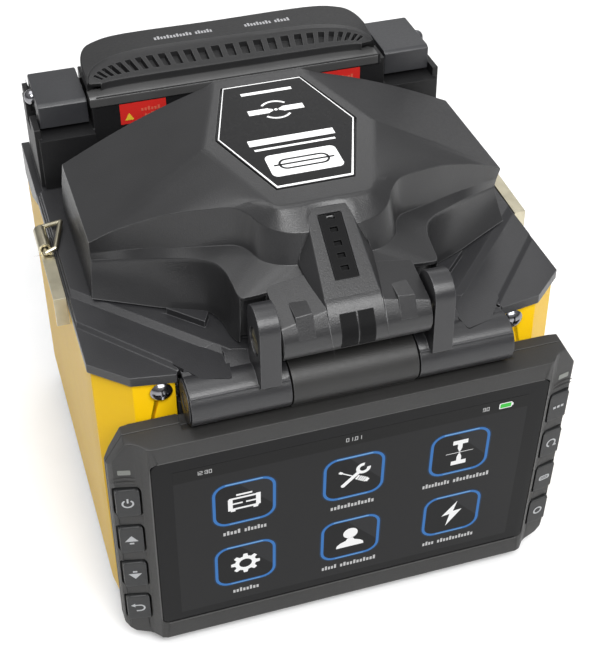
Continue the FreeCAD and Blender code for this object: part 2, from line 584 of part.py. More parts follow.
def hood_form(squeeze):
    """Closed faceted solid of the hood's outer form, squeezed towards its middle for the cavity."""
    rows, (rim_b, side_b, top_b, top_c, rim_c) = hood_rows(squeeze)
    triangles = []
    for lower, upper in zip(rows, rows[1:]):
        for i in range(len(lower) - 1):
            triangles += [(lower[i], lower[i + 1], upper[i + 1]), (lower[i], upper[i + 1], upper[i])]
    rim, low, mid, high, top = rows
    corner = [rim[-1], rim_b, side_b, high[-1], mid[-1], low[-1]]
    triangles += [(corner[0], corner[i], corner[i + 1]) for i in range(1, 5)]
    triangles += [(high[-1], side_b, top_b), (high[-1], top_b, top[-1])]
    triangles += [(rim_b, rim_c, top_c), (rim_b, top_c, top_b), (rim_b, top_b, side_b)]
    cap = [top_c, top_b] + top[::-1][1:]
    triangles += [(cap[0], cap[i], cap[i + 1]) for i in range(1, len(cap) - 1)]
    floor = [rim_c, rim_b] + rim[::-1]
    triangles += [(floor[0], floor[i], floor[i + 1]) for i in range(1, len(floor) - 1)]
    faces = []
    for tri in triangles:
        for flip in (1, -1):
            a, b, c = [V(flip * x, y, z) for x, y, z in tri]
            if (b - a).cross(c - a).Length > 1e-3:
                faces.append(Part.Face(Part.makePolygon([a, b, c, a])))
    solid = Part.Solid(Part.makeShell(faces))
    if solid.Volume < 0:
        solid.reverse()
    return solid


def hood_shell():
    outer = hood_form(lambda p: p)
    middle = (0.0, 74.0, 100.0)
    shrink = (0.955, 0.93, 0.94)
    inner = hood_form(lambda p: tuple(m + s * (c - m) for c, m, s in zip(p, middle, shrink)))
    arm = prism_x([(2.2, 121.2), (4.0, 123.6), (15.6, 124.5), (15.6, 109.7), (7.0, 109.7)],
                  -HOOD_HALF, HOOD_HALF)
    spine = prism_x([(2.6, 121.6), (4.2, 124.3), (28.0, 139.7), (31.0, 141.3), (31.0, 130.0),
                     (14.0, 112.0)], -7.4, 7.4)
    barrel = rod("x", (HOOD_Y, HOOD_Z), HOOD_R, -HOOD_HALF, HOOD_HALF)
    ear_way = rod("x", (HOOD_Y, HOOD_Z), EAR_SWEEP, HOOD_HALF, EAR_OUT + 0.4)
    skin = cut(outer, inner, ear_way, mirrored(ear_way))
    shell = fuse(skin, arm, spine, barrel)
    groove = prism_x([(10.4, 125.9), (26.8, 136.5), (24.6, 139.9), (8.2, 129.3)], -3.5, 3.5)
    saddle = cut(rod("x", (HOOD_Y, HOOD_Z), HOOD_R + 3, -4.0, 4.0),
                 rod("x", (HOOD_Y, HOOD_Z), HOOD_R - 1.0, -5, 5),
                 box(-5, 5, HOOD_Y + 0.5, 30, 100, 130))
    pin = rod("x", (HOOD_Y, HOOD_Z), PIN_R + 0.05, EAR_IN - 7.3, EAR_IN + 1)
    badge_seat = badge_form(0.25, 142.3 - 0.9, 150.0)
    return cut(shell, groove, saddle, badge_seat, pin, mirrored(pin))


def badge_form(grow, z0, z1):
    """Hexagonal plan of the badge plate, tilted with the plateau."""
    half = [(0.0, 37.5 - grow), (11.4 + grow, 37.5 - grow), (21.4 + grow, 66.0),
            (12.5 + grow, 93.4 + grow), (0.0, 93.4 + grow)]
    plate = prism_z(mirror_outline(half), z0, z1)
    plate.rotate(V(0, 58.0, 142.3), AXIS_X, math.degrees(math.atan(0.038)))
    return plate


def badge_plate():
    return badge_form(0.0, 142.3 - 0.85, 142.3 + 0.15)


def spine_insert():
    """Slotted black strip let into the sloping spine."""
    strip = prism_x([(10.6, 126.2), (26.6, 136.5), (25.4, 138.4), (9.4, 128.0)], -3.3, 3.3)
    along = V(0, 16.0, 10.3).normalize()
    start = V(0, 10.0, 127.1)
    pockets = []
    for i in range(5):
        spot = start + along * (2.4 + i * 3.55)
        pocket = box(-1.0, 1.0, spot.y - 0.9, spot.y + 0.9, spot.z - 0.2, spot.z + 6.0)
        pockets.append(pocket)
    return cut(strip, *pockets)


def barrel_insert():
    """Black two-lobe saddle on the front of the hood's barrel."""
    return cut(rod("x", (HOOD_Y, HOOD_Z), HOOD_R + 0.25, -3.8, 3.8),
               rod("x", (HOOD_Y, HOOD_Z), HOOD_R - 0.95, -5, 5),
               box(-5, 5, HOOD_Y + 0.4, 30, 100, 130),
               box(-0.25, 0.25, -5, HOOD_Y - 5.9, 100, 130))


def wind_seal():
    """Soft frame inside the hood's rim that keeps draughts off the arc."""
    return cut(box(-52.0, 52.0, 48.0, 93.0, 108.3, 111.3), box(-48.5, 48.5, 51.0, 90.0, 107.0, 113.0))


def hood_lamp():
    """Lamp block hanging under the hood that lights the fibre from above."""
    return fuse(box(-9.0, 9.0, 58.0, 74.0, 128.0, 139.6), box(-7.0, 7.0, 60.0, 72.0, 124.0, 128.0))


# ---- monitor ----
def monitor_outline():
    return [(0.0, MON_BOTTOM), (63.0, MON_BOTTOM), (68.0, MON_BOTTOM + 1.4),
            (MON_HALF - 0.4, MON_BOTTOM + 4.6), (MON_HALF, MON_BOTTOM + 8.0), (MON_HALF, 82.4),
            (65.8, MON_TOP), (0.0, MON_TOP)]


def key_rows():
    return [KEY_TOP - i * KEY_PITCH for i in range(4)]


def barrel_relief():
    """Room for the fixed bar while the screen swings up past it."""
    ring = rod("x", (BARREL_Y, BARREL_Z), BARREL_R + 0.6, BARREL_HALF + 0.1, BAR_OUT + 2.2)
    return fuse(ring, mirrored(ring))


def monitor_bezel():
    plan = [(0.0, -0.4), (59.0, -0.4), (60.5, 0.1), (62.4, 2.4), (63.6, 3.2), (69.6, 4.6),
            (70.8, 6.0), (MON_HALF, 7.5), (0.0, 7.5)]
    form = prism_z(mirror_outline(plan), 0.0, 95.0)
    form = form.common(prism_y(mirror_outline(monitor_outline()), -5.0, 20.0))
    glass_seat = rounded_box(-60.1, 60.1, -2.0, 1.3, LCD_TOP - 68.7, LCD_TOP + 5.1, 2.6, AXIS_Y)
    lcd_bay = box(-57.6, 57.6, 0.0, 8.0, 10.9, 85.6)
    half_w, half_h = KEY_W / 2 + KEY_ROOM, KEY_H / 2 + KEY_ROOM
    key_holes = [rounded_box(KEY_X - half_w, KEY_X + half_w, -1, 8, z - half_h, z + half_h, 1.6, AXIS_Y)
                 for z in key_rows()]
    form = cut(form, glass_seat, lcd_bay, *key_holes, *[mirrored(h) for h in key_holes])
    barrel_way = rod("x", (BARREL_Y, BARREL_Z), BARREL_R + 0.1, -BARREL_HALF - 0.2, BARREL_HALF + 0.2)
    return cut(tilted(form), barrel_relief(), barrel_way)


def monitor_back():
    plan = [(0.0, 7.55), (MON_HALF, 7.55), (MON_HALF, 9.0), (69.4, 10.2), (60.0, 11.6), (0.0, 11.6)]
    form = prism_z(mirror_outline(plan), 0.0, 95.0)
    form = form.common(prism_y(mirror_outline(monitor_outline()), -5.0, 20.0))
    upper = prism_x([(9.2, 99.0), (12.0, 99.0), (12.0, 88.0)], -80.0, 80.0)
    pocket = box(-57.0, 57.0, 7.0, 9.8, 12.0, 84.0)
    form = cut(tilted(cut(form, upper, pocket)), barrel_relief())
    neck = fuse(box(-BARREL_HALF, BARREL_HALF, 3.0, 10.4, 92.2, 97.0),
                box(-BARREL_HALF, BARREL_HALF, 7.0, 10.4, 88.0, 97.0))
    barrel = rod("x", (BARREL_Y, BARREL_Z), BARREL_R, -BARREL_HALF, BARREL_HALF)
    neck_clear = rod("x", (BARREL_Y, BARREL_Z), 2.05, -30, 30)
    return cut(fuse(form, neck, barrel), neck_clear)


def cover_glass():
    return tilted(rounded_box(-59.9, 59.9, 0.0, 1.2, LCD_TOP - 68.5, LCD_TOP + 4.9, 2.5, AXIS_Y))


def lcd_panel():
    return tilted(box(-57.2, 57.2, 1.35, 5.6, 11.3, 85.2))


def screen_board():
    return tilted(box(-56.0, 56.0, 6.0, 7.4, 14.0, 83.0))


def key(side, z):
    x0, x1 = KEY_X - KEY_W / 2, KEY_X + KEY_W / 2
    cap = rounded_box(x0, x1, 1.0, 6.4, z - KEY_H / 2, z + KEY_H / 2, 1.4, AXIS_Y)
    slope = prism_z([(x0 - 1, 0.0), (x0 - 1, 2.4), (x1 + 1, 4.0), (x1 + 1, 0.0)], 0.0, 100.0)
    return tilted(on_side(cap.cut(slope), side))


def pieces():
    out = {
        "base_shell": base_shell(),
        "top_deck": top_deck(),
        "hinge_yoke": hinge_yoke(),
        "bar_end_caps": bar_end_caps(),
        "hinge_pins": hinge_pins(),
        "panel_screws": panel_screws(),
        "rubber_feet": rubber_feet(),
        "rear_panel": rear_panel(),
        "rear_ports": rear_ports(),
        "fan_frame": fan_frame(),
        "fan_rotor": fan_rotor(),
        "battery_pack": battery_pack(),
        "battery_contacts": battery_contacts(),
        "chassis_plate": chassis_plate(),
        "main_board": main_board(),
        "arc_supply": arc_supply(),
        "splice_bench": splice_bench(),
        "electrodes": pair(electrode),
        "electrode_holders": pair(electrode_holder),
        "objective_lenses": pair(objective),
        "camera_modules": pair(camera),
        "heater_housing": heater_housing(),
        "heater_trough": heater_trough(),
        "heater_element": heater_element(),
        "heater_labels": heater_labels(),
        "heater_lid": heater_lid(),
        "heater_lid_pin": heater_lid_pin(),
        "hood_shell": hood_shell(),
        "badge_plate": badge_plate(),
        "spine_insert": spine_insert(),
        "barrel_insert": barrel_insert(),
        "wind_seal": wind_seal(),
        "hood_lamp": hood_lamp(),
        "monitor_bezel": monitor_bezel(),
        "monitor_back": monitor_back(),
        "cover_glass": cover_glass(),
        "lcd_panel": lcd_panel(),
        "screen_board": screen_board(),
    }
    out["side_panels"] = both_sides(side_panel())
    out["vgroove_blocks"] = Part.makeCompound([vgroove(s) for s in SIDES])
    out["strap_brackets"] = Part.makeCompound([strap_bracket(s) for s in SIDES])
    out["feed_motors"] = Part.makeCompound([feed_motor(s) for s in SIDES])
    for side in SIDES:
        out["strap_ring_" + side] = strap_ring(side)
        out["end_clamp_" + side] = end_clamp(side)
        out["clamp_screw_" + side] = clamp_screw(side)
        out["fibre_stage_" + side] = fibre_stage(side)
        out["sheath_clamp_" + side] = sheath_clamp(side)
        for name, z in zip(KEY_NAMES[side], key_rows()):
            out[name] = key(side, z)
    return out


def main():
    os.makedirs("parts", exist_ok=True)
    model = pieces()
    low = min(s.BoundBox.YMin for s in model.values())
    high = max(s.BoundBox.YMax for s in model.values())
    for name, shape in model.items():
        shape.translate(V(0, -(low + high) / 2, 0))
        shape.exportStep("parts/%s.step" % name)
        print("%-24s valid=%s solids=%d volume=%.0f"
              % (name, shape.isValid(), len(shape.Solids), shape.Volume))
    print(len(model), "nodes; Y shift", round(-(low + high) / 2, 3))


main()
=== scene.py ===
"""Looks of a fusion splicer for optical fibre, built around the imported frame.

Points are millimetres in the case's own axes: x across, y the depth behind the front hinge bar
and z the height above the table. at() turns them into metres in the frame's axes.
"""
import bpy
import bmesh
import math
from mathutils import Matrix, Vector


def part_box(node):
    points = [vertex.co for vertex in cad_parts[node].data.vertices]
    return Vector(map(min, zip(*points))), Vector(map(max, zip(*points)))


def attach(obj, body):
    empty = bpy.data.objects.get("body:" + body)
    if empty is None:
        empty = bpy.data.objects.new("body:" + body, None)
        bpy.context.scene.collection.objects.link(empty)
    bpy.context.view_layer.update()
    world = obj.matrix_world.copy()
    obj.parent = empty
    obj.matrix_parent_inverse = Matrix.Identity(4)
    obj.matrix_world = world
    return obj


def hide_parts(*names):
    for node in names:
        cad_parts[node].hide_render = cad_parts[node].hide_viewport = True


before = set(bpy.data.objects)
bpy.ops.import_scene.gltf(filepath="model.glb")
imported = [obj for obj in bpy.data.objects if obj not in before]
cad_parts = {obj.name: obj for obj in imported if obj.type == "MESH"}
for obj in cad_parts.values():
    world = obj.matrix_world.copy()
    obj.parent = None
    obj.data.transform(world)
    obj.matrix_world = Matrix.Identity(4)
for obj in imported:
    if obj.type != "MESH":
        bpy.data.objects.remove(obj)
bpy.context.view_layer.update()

MM = 0.001
BAR_LEAD = 0.3  # how far the ears stand ahead of the bar's line
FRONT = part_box("hinge_yoke")[0].y + BAR_LEAD * MM
SIDES = ((-1, "left"), (1, "right"))


def at(x, y, z):
    return Vector((x * MM, FRONT + y * MM, z * MM))


# ---- camera, light and floor ----
EYE = (-98.58, -269.07, 351.40)
AIM = (0.23096895, 0.75462764, -0.61415834)
ROLL = -0.52  # degrees about the line of sight
LENS, SENSOR = 76.14, 36.0
SHIFT_X, SHIFT_Y = -0.0016, -0.0411

LAMPS = (  # name, place and size in metres, watts
    ("key", (0.05, -0.80, 0.98), (0.95, 0.62), 18.5),
    ("top", (-0.15, 0.10, 1.15), (0.8, 0.8), 5.6),
    ("back", (0.35, 0.85, 0.75), (0.5, 0.4), 0.9),
)
LAMP_TARGET = (0, 0, 0.10)
WORLD_STOPS = ((0.0, (0.16, 0.16, 0.165, 1)), (0.9, (0.62, 0.62, 0.62, 1)))
FLOOR_HALF = 3.0


def add_object(name, data):
    obj = bpy.data.objects.new(name, data)
    bpy.context.scene.collection.objects.link(obj)
    return obj


def add_camera():
    forward = Vector(AIM).normalized()
    right = forward.cross(Vector((0, 0, 1))).normalized()
    up = right.cross(forward)
    roll = math.radians(ROLL)
    level_right = math.cos(roll) * right + math.sin(roll) * up
    level_up = -math.sin(roll) * right + math.cos(roll) * up
    camera = add_object("camera", bpy.data.cameras.new("camera"))
    camera.data.sensor_fit = "VERTICAL"
    camera.data.sensor_height = SENSOR
    camera.data.lens = LENS
    camera.data.shift_x = SHIFT_X
    camera.data.shift_y = SHIFT_Y
    camera.data.clip_start = 0.01
    camera.matrix_world = Matrix((level_right, level_up, -forward)).transposed().to_4x4()
    camera.location = at(*EYE)
    bpy.context.scene.camera = camera


def add_softbox(name, place, size, watts):
    lamp = bpy.data.lights.new(name, "AREA")
    lamp.shape = "RECTANGLE"
    lamp.size, lamp.size_y = size
    lamp.energy = watts
    obj = add_object(name, lamp)
    obj.location = Vector(place)
    obj.rotation_euler = (Vector(LAMP_TARGET) - Vector(place)).to_track_quat("-Z", "Y").to_euler()


def add_studio():
    """Pale surroundings, darker below the horizon, and three soft lamps."""
    world = bpy.data.worlds.new("studio")
    bpy.context.scene.world = world
    world.use_nodes = True
    new, link = world.node_tree.nodes.new, world.node_tree.links.new
    place, split, ramp = new("ShaderNodeTexCoord"), new("ShaderNodeSeparateXYZ"), new("ShaderNodeValToRGB")
    link(place.outputs["Generated"], split.inputs[0])
    link(split.outputs["Z"], ramp.inputs[0])
    link(ramp.outputs["Color"], world.node_tree.nodes["Background"].inputs["Color"])
    for element, (position, colour) in zip(ramp.color_ramp.elements, WORLD_STOPS):
        element.position, element.color = position, colour
    for lamp in LAMPS:
        add_softbox(*lamp)
    bpy.context.scene.view_settings.view_transform = "Standard"


def add_floor():
    mesh = bpy.data.meshes.new("floor")
    half = FLOOR_HALF
    corners = [(-half, -half, 0), (half, -half, 0), (half, half, 0), (-half, half, 0)]
    mesh.from_pydata(corners, [], [(0, 1, 2, 3)])
    floor = add_object("floor", mesh)
    mesh.materials.append(MATERIALS["floor"])
    floor.visible_diffuse = False


# ---- materials ----
MATERIALS = {}
EDGE_WEAR_AND_HIGHLIGHT = 0.4  # width of the paler line along an edge: partly wear, mostly a painted highlight


class Shader:
    """A small builder for one node material, which it adds to MATERIALS."""

    def __init__(self, name):
        material = bpy.data.materials.new(name)
        material.use_nodes = True
        MATERIALS[name] = material
        self.tree = material.node_tree
        self.surface = self.tree.nodes["Principled BSDF"]
        self.place = self.tree.nodes.new("ShaderNodeTexCoord").outputs["Object"]

    def add(self, kind, **inputs):
        node = self.tree.nodes.new(kind)
        for key, value in inputs.items():
            self.feed(node.inputs[key.replace("_", " ")], value)
        return node

    def feed(self, socket, value):
        if isinstance(value, bpy.types.NodeSocket):
            self.tree.links.new(value, socket)
        else:
            socket.default_value = value

    def set(self, key, value):
        self.feed(self.surface.inputs[key], value)

    def noise(self, scale, detail=2.0, source=None):
        node = self.add("ShaderNodeTexNoise", Vector=source or self.place, Scale=scale, Detail=detail)
        return node.outputs["Fac"]

    def ramp(self, factor, stops):
        node = self.add("ShaderNodeValToRGB", Fac=factor)
        while len(node.color_ramp.elements) < len(stops):
            node.color_ramp.elements.new(0.5)
        for element, (place, colour) in zip(node.color_ramp.elements, stops):
            element.position = place
            element.color = (*colour, 1.0)
        return node.outputs["Color"]

    def blend(self, factor, first, second):
        node = self.add("ShaderNodeMix")
        node.data_type = "RGBA"
        for socket, value in ((0, factor), (6, first), (7, second)):
            self.feed(node.inputs[socket], value)
        return node.outputs[2]

    def math(self, operation, *values):
        node = self.add("ShaderNodeMath")
        node.operation = operation
        for socket, value in zip(node.inputs, values):
            self.feed(socket, value)
        return node.outputs[0]

    def bump(self, height, strength, distance):
        node = self.add("ShaderNodeBump", Height=height, Strength=strength, Distance=distance)
        self.tree.links.new(node.outputs["Normal"], self.surface.inputs["Normal"])


def plastic(name, colour, rough, grain=2600.0, grain_depth=0.35, mottle=0.10, edge=0.35, spec=0.5):
    """Moulded plastic: fine spark-eroded grain, faint mottling and paler edges, partly wear and mostly a
    painted highlight.
    """
    s = Shader(name)
    s.set("Specular IOR Level", spec)
    light = tuple(min(1.0, c * (1 + mottle)) for c in colour)
    dark = tuple(c * (1 - mottle) for c in colour)
    cloud = s.noise(55.0, 4.0)
    body = s.ramp(cloud, [(0.3, dark), (0.7, light)])
    speck = s.noise(grain, 1.0)
    body = s.blend(s.math("MULTIPLY", s.math("GREATER_THAN", speck, 0.60), 0.12), body, (*light, 1.0))
    # Paler line along sharp edges: partly patchy wear, mostly a painted highlight where rounded edges would
    # catch the light.
    if edge:
        near_edge = s.add("ShaderNodeBevel", Radius=EDGE_WEAR_AND_HIGHLIGHT * MM)
        near_edge.samples = 4
        likeness = s.add("ShaderNodeVectorMath")
        likeness.operation = "DOT_PRODUCT"
        s.feed(likeness.inputs[0], near_edge.outputs["Normal"])
        s.feed(likeness.inputs[1], s.add("ShaderNodeNewGeometry").outputs["Normal"])
        turn = s.math("SUBTRACT", 1.0, likeness.outputs["Value"])
        patchy = s.math("MULTIPLY_ADD", s.noise(220.0, 2.0), 5.0, 2.5)
        wear_and_highlight = s.math("MULTIPLY", s.math("MINIMUM", s.math("MULTIPLY", turn, patchy), 1.0), edge)
        # The painted highlight colour along the edges, lighter than the plastic.
        pale = tuple(min(1.0, c * 2.6 + 0.05) for c in colour)
        body = s.blend(wear_and_highlight, body, (*pale, 1.0))
    s.set("Base Color", body)
    s.set("Roughness", s.math("MULTIPLY_ADD", s.noise(grain * 0.4, 2.0), 0.16, rough - 0.08))
    s.bump(speck, grain_depth, 0.00012)


def metal(name, colour, rough, streak=(900.0, 900.0, 60.0)):
    """Brushed or plated metal: fine streaks along one axis and faint handling marks."""
    s = Shader(name)
    s.set("Metallic", 1.0)
    stretch = s.add("ShaderNodeMapping", Vector=s.place, Scale=streak)
    lines = s.noise(1.0, 3.0, stretch.outputs["Vector"])
    dull = tuple(c * 0.8 for c in colour)
    smudge = s.noise(140.0, 3.0)
    s.set("Base Color", s.ramp(smudge, [(0.35, dull), (0.65, colour)]))
    s.set("Roughness", s.math("MULTIPLY_ADD", lines, 0.22, rough - 0.08))
    s.bump(lines, 0.12, 0.00005)


def glowing(name, colour, rough=0.18):
    """Lit part of the display: its own light broken by a fine grid of cells."""
    s = Shader(name)
    s.set("Specular IOR Level", 0.12)
    s.set("Emission Strength", 1.0)
    cells = s.add("ShaderNodeTexChecker", Vector=s.place, Scale=9000.0)
    patch = s.math("MULTIPLY_ADD", s.noise(300.0, 2.0), 0.06, -0.03)
    level = s.math("ADD", s.math("MULTIPLY_ADD", cells.outputs["Fac"], 0.06, 0.95), patch)
    tint = s.add("ShaderNodeVectorMath")
    tint.operation = "SCALE"
    tint.inputs[0].default_value = colour
    s.feed(tint.inputs["Scale"], level)
    s.set("Emission Color", tint.outputs[0])
    s.set("Base Color", (0.004, 0.004, 0.004, 1))
    s.set("Roughness", s.math("MULTIPLY_ADD", s.noise(60.0, 3.0), 0.08, rough - 0.04))


PLASTICS = (  # name, colour, roughness, strength of the paler edges (partly wear, mostly painted highlight), specular level
    ("hood_plastic", (0.019, 0.019, 0.0198), 0.34, 0.9, 0.47),
    ("deck_plastic", (0.017, 0.017, 0.0185), 0.36, 0.9, 0.5),
    ("deck_plain", (0.017, 0.017, 0.0185), 0.36, 0, 0.5),
    ("screen_plastic", (0.021, 0.0206, 0.020), 0.48, 0.7, 0.38),
    ("base_plastic", (0.024, 0.024, 0.026), 0.5, 0.35, 0.5),
    ("oven_plastic", (0.006, 0.006, 0.0065), 0.5, 0.2, 0.35),
    ("ledge_plastic", (0.05, 0.05, 0.05), 0.40, 0.2, 0.6),
    ("lid_plastic", (0.0125, 0.0125, 0.013), 0.45, 0.5, 0.36),
    ("clamp_plastic", (0.022, 0.0225, 0.025), 0.42, 0.35, 0.5),
    ("strip_plastic", (0.006, 0.006, 0.0063), 0.6, 0.25, 0.08),
    ("black_plastic", (0.010, 0.010, 0.011), 0.42, 0.2, 0.5),
    ("key_rubber", (0.013, 0.0135, 0.014), 0.5, 0.5, 0.4),
    ("lcd", (0.02, 0.02, 0.024), 0.3, 0.35, 0.5),
    ("pcb", (0.012, 0.10, 0.035), 0.4, 0.35, 0.5),
    ("battery", (0.03, 0.03, 0.034), 0.5, 0.35, 0.5),
    ("element", (0.45, 0.18, 0.05), 0.35, 0.35, 0.5),
    ("lamp", (0.70, 0.70, 0.68), 0.3, 0, 0.5),
)
SMOOTHS = (  # name, colour, roughness, depth of grain, mottle
    ("key_print", (0.52, 0.53, 0.54), 0.5, 0.1, 0.06),
    ("badge_print", (0.80, 0.80, 0.80), 0.35, 0.04, 0.03),
    ("lid_print", (0.30, 0.30, 0.31), 0.5, 0.1, 0.08),
    ("label_red", (0.52, 0.020, 0.016), 0.35, 0.05, 0.06),
    ("label_yellow", (0.62, 0.42, 0.03), 0.4, 0.05, 0.08),
    ("label_print", (0.55, 0.10, 0.06), 0.4, 0.05, 0.08),
    ("lamp_window", (0.20, 0.21, 0.19), 0.3, 0.05, 0.08),
    ("ceramic", (0.78, 0.77, 0.72), 0.3, 0.1, 0.03),
)
GLOWS = (
    ("image", (0.009, 0.009, 0.0096)), ("black", (0.0008, 0.0008, 0.0008)), ("halo", (0.008, 0.022, 0.048)),
    ("blue", (0.03, 0.165, 0.47)), ("sky", (0.2, 0.4, 0.64)), ("tile", (0.0016, 0.0018, 0.0024)),
    ("gloss", (0.015, 0.0155, 0.0175)), ("white", (0.9, 0.9, 0.9)), ("text", (0.52, 0.52, 0.52)),
    ("green", (0.05, 0.56, 0.06)),
)


def make_materials():
    for name, colour, rough, edge, spec in PLASTICS:
        plastic(name, colour, rough, edge=edge, spec=spec)
    for name, colour, rough, depth, mottle in SMOOTHS:
        plastic(name, colour, rough, grain_depth=depth, mottle=mottle, edge=0)
    for name, colour in GLOWS:
        glowing("screen_" + name, colour)
    plastic("floor", (0.90, 0.90, 0.90), 0.9, grain=400.0, grain_depth=0.02, mottle=0.01, edge=0)
    plastic("yellow_plastic", (1.0, 0.60, 0.005), 0.42, grain_depth=0.12, mottle=0.03, edge=0.15, spec=0.25)
    plastic("rubber", (0.014, 0.014, 0.014), 0.75, grain=1500.0)
    plastic("badge", (0.006, 0.006, 0.0065), 0.3, grain_depth=0.04, edge=0, spec=0.12)
    plastic("glass", (0.005, 0.005, 0.0054), 0.14, grain_depth=0.02, mottle=0.05, edge=0, spec=0.12)
    metal("aluminium", (0.78, 0.79, 0.81), 0.34)
    metal("steel", (0.56, 0.57, 0.58), 0.28)
    metal("dark_chrome", (0.26, 0.26, 0.275), 0.16, streak=(300.0, 300.0, 300.0))
    metal("nickel", (0.52, 0.48, 0.36), 0.30)


CREASE = 24.0  # edges that turn more than this many degrees are sharp


def smooth_by_angle():
    """Geometry nodes that shade the flatter edges smooth and the others sharp."""
    tree = bpy.data.node_groups.new("smooth_by_angle", "GeometryNodeTree")
    for way in ("INPUT", "OUTPUT"):
        tree.interface.new_socket("Geometry", in_out=way, socket_type="NodeSocketGeometry")
    new, link = tree.nodes.new, tree.links.new
    start, end = new("NodeGroupInput"), new("NodeGroupOutput")
    angle, flatter = new("GeometryNodeInputMeshEdgeAngle"), new("ShaderNodeMath")
    flatter.operation = "LESS_THAN"
    flatter.inputs[1].default_value = math.radians(CREASE)
    faces, edges = new("GeometryNodeSetShadeSmooth"), new("GeometryNodeSetShadeSmooth")
    faces.domain, edges.domain = "FACE", "EDGE"
    link(start.outputs[0], faces.inputs["Geometry"])
    link(faces.outputs[0], edges.inputs["Geometry"])
    link(angle.outputs["Unsigned Angle"], flatter.inputs[0])
    link(flatter.outputs[0], edges.inputs["Shade Smooth"])
    link(edges.outputs[0], end.inputs[0])
    return tree


SMOOTH = smooth_by_angle()


def soften(obj, width, weld=False):
    """Rounds the sharp edges by width millimetres and shades the rest smooth."""
    if weld:
        obj.modifiers.new("weld", "WELD").merge_threshold = 0.002 * MM
    if width:
        bevel = obj.modifiers.new("bevel", "BEVEL")
        bevel.width = width * MM
        bevel.segments = 2
        bevel.limit_method = "ANGLE"
        bevel.angle_limit = math.radians(CREASE + 1)
        bevel.use_clamp_overlap = False
    shade = obj.modifiers.new("shade", "NODES")
    shade.node_group = SMOOTH
    obj.modifiers.new("flat_faces", "WEIGHTED_NORMAL").keep_sharp = True


# ---- shapes ----
class Form:
    """Points in case millimetres and faces, collected before they become one mesh."""

    def __init__(self):
        self.points = []
        self.faces = []

    def add(self, points, faces):
        start = len(self.points)
        self.points += [tuple(p) for p in points]
        self.faces += [tuple(start + i for i in face) for face in faces]
        return self

    def grid(self, rows, wrap=False):
        """Quads between neighbouring rows of equally many points."""
        width = len(rows[0])
        last = width if wrap else width - 1
        faces = []
        for r in range(len(rows) - 1):
            for c in range(last):
                d = (c + 1) % width
                faces.append((r * width + c, r * width + d, (r + 1) * width + d, (r + 1) * width + c))
        return self.add([p for row in rows for p in row], faces)

    def face(self, *points):
        return self.add(points, [range(len(points))])

    def prism(self, low, high):
        """Closed solid between two outlines of equally many points."""
        n = len(low)
        sides = [(i, (i + 1) % n, n + (i + 1) % n, n + i) for i in range(n)]
        return self.add(list(low) + list(high), sides + [tuple(range(n))[::-1], tuple(range(n, 2 * n))])

    def across(self, outline, x0, x1):
        """Solid from x0 to x1 with an outline of (y, z) points."""
        return self.prism([(x0, y, z) for y, z in outline], [(x1, y, z) for y, z in outline])

    def mirror(self):
        count = len(self.points)
        self.points += [(-x, y, z) for x, y, z in self.points]
        self.faces += [tuple(count + i for i in reversed(face)) for face in self.faces]
        return self


def piece(name, form, body, slot, bevel=0.0, material=None, replaces=()):
    """One mesh object made from a form, riding on its body."""
    mesh = bpy.data.meshes.new(name)
    mesh.from_pydata([at(*p) for p in form.points], [], form.faces)
    work = bmesh.new()
    work.from_mesh(mesh)
    bmesh.ops.remove_doubles(work, verts=work.verts, dist=0.004 * MM)
    bmesh.ops.dissolve_degenerate(work, edges=work.edges, dist=0.002 * MM)
    bmesh.ops.recalc_face_normals(work, faces=work.faces)
    work.to_mesh(mesh)
    work.free()
    obj = add_object(name, mesh)
    mesh.materials.append(MATERIALS[material or slot])
    soften(obj, bevel)
    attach(obj, body)
    if replaces:
        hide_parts(*replaces)


def middle_of(p):
    """The point straight across from p on the middle plane."""
    return (0.0, p[1], p[2])


def mix(a, b, t):
    return tuple(p + (q - p) * t for p, q in zip(a, b))


def along(knots, t):
    """Smooth curve through knots given as (t, x, y, ...), read at t."""
    i = max(0, min(len(knots) - 2, sum(knot[0] < t for knot in knots) - 1))
    first, last = knots[i], knots[i + 1]
    before, after = knots[max(0, i - 1)], knots[min(len(knots) - 1, i + 2)]
    span = last[0] - first[0]
    u = max(0.0, min(1.0, (t - first[0]) / span))
    out = []
    for a, b, c, d in zip(before[1:], first[1:], last[1:], after[1:]):
        leaving = (c - a) / (last[0] - before[0]) * span
        arriving = (d - b) / (after[0] - first[0]) * span
        out.append((2 * u ** 3 - 3 * u ** 2 + 1) * b + (u ** 3 - 2 * u ** 2 + u) * leaving
                   + (3 * u ** 2 - 2 * u ** 3) * c + (u ** 3 - u ** 2) * arriving)
    return tuple(out)


def rounded(line, radii):
    """A line with its inner corners turned into short curves; radii holds one radius per point."""
    out = []
    for i, (p, r) in enumerate(zip(line, radii)):
        if not r:
            out.append(p)
            continue
        here = Vector(p)
        start, stop = (here + leg.normalized() * min(r, leg.length * 0.45)
                       for leg in (Vector(line[i - 1]) - here, Vector(line[i + 1]) - here))
        for u in (0.0, 0.25, 0.5, 0.75, 1.0):
            out.append(tuple(start * (1 - u) ** 2 + here * 2 * u * (1 - u) + stop * u ** 2))
    return out


# ---- hood ----
RIM_Z = 107.8
COVE = 0.9  # how far the front walls are hollowed
CROWN = 0.5  # how far the top facets are arched
RECESS, RECESS_START = 3.4, 0.86  # depth of the notch over the hinge ears, and where it starts
SEAT = [(0, 37.3), (11.6, 37.3), (21.7, 66), (12.8, 93.6), (0, 93.6)]
PLATEAU_Y = 64  # middle of the hood's flat top


def plateau_z(y):
    return 140.2 + 0.038 * y


def shelf_z(x, y):
    """The plane shared by the shelf and the two arms that run down to the barrel."""
    return 124.1 + 0.2 * (y - 3.8) - 0.164 * (x - 8)


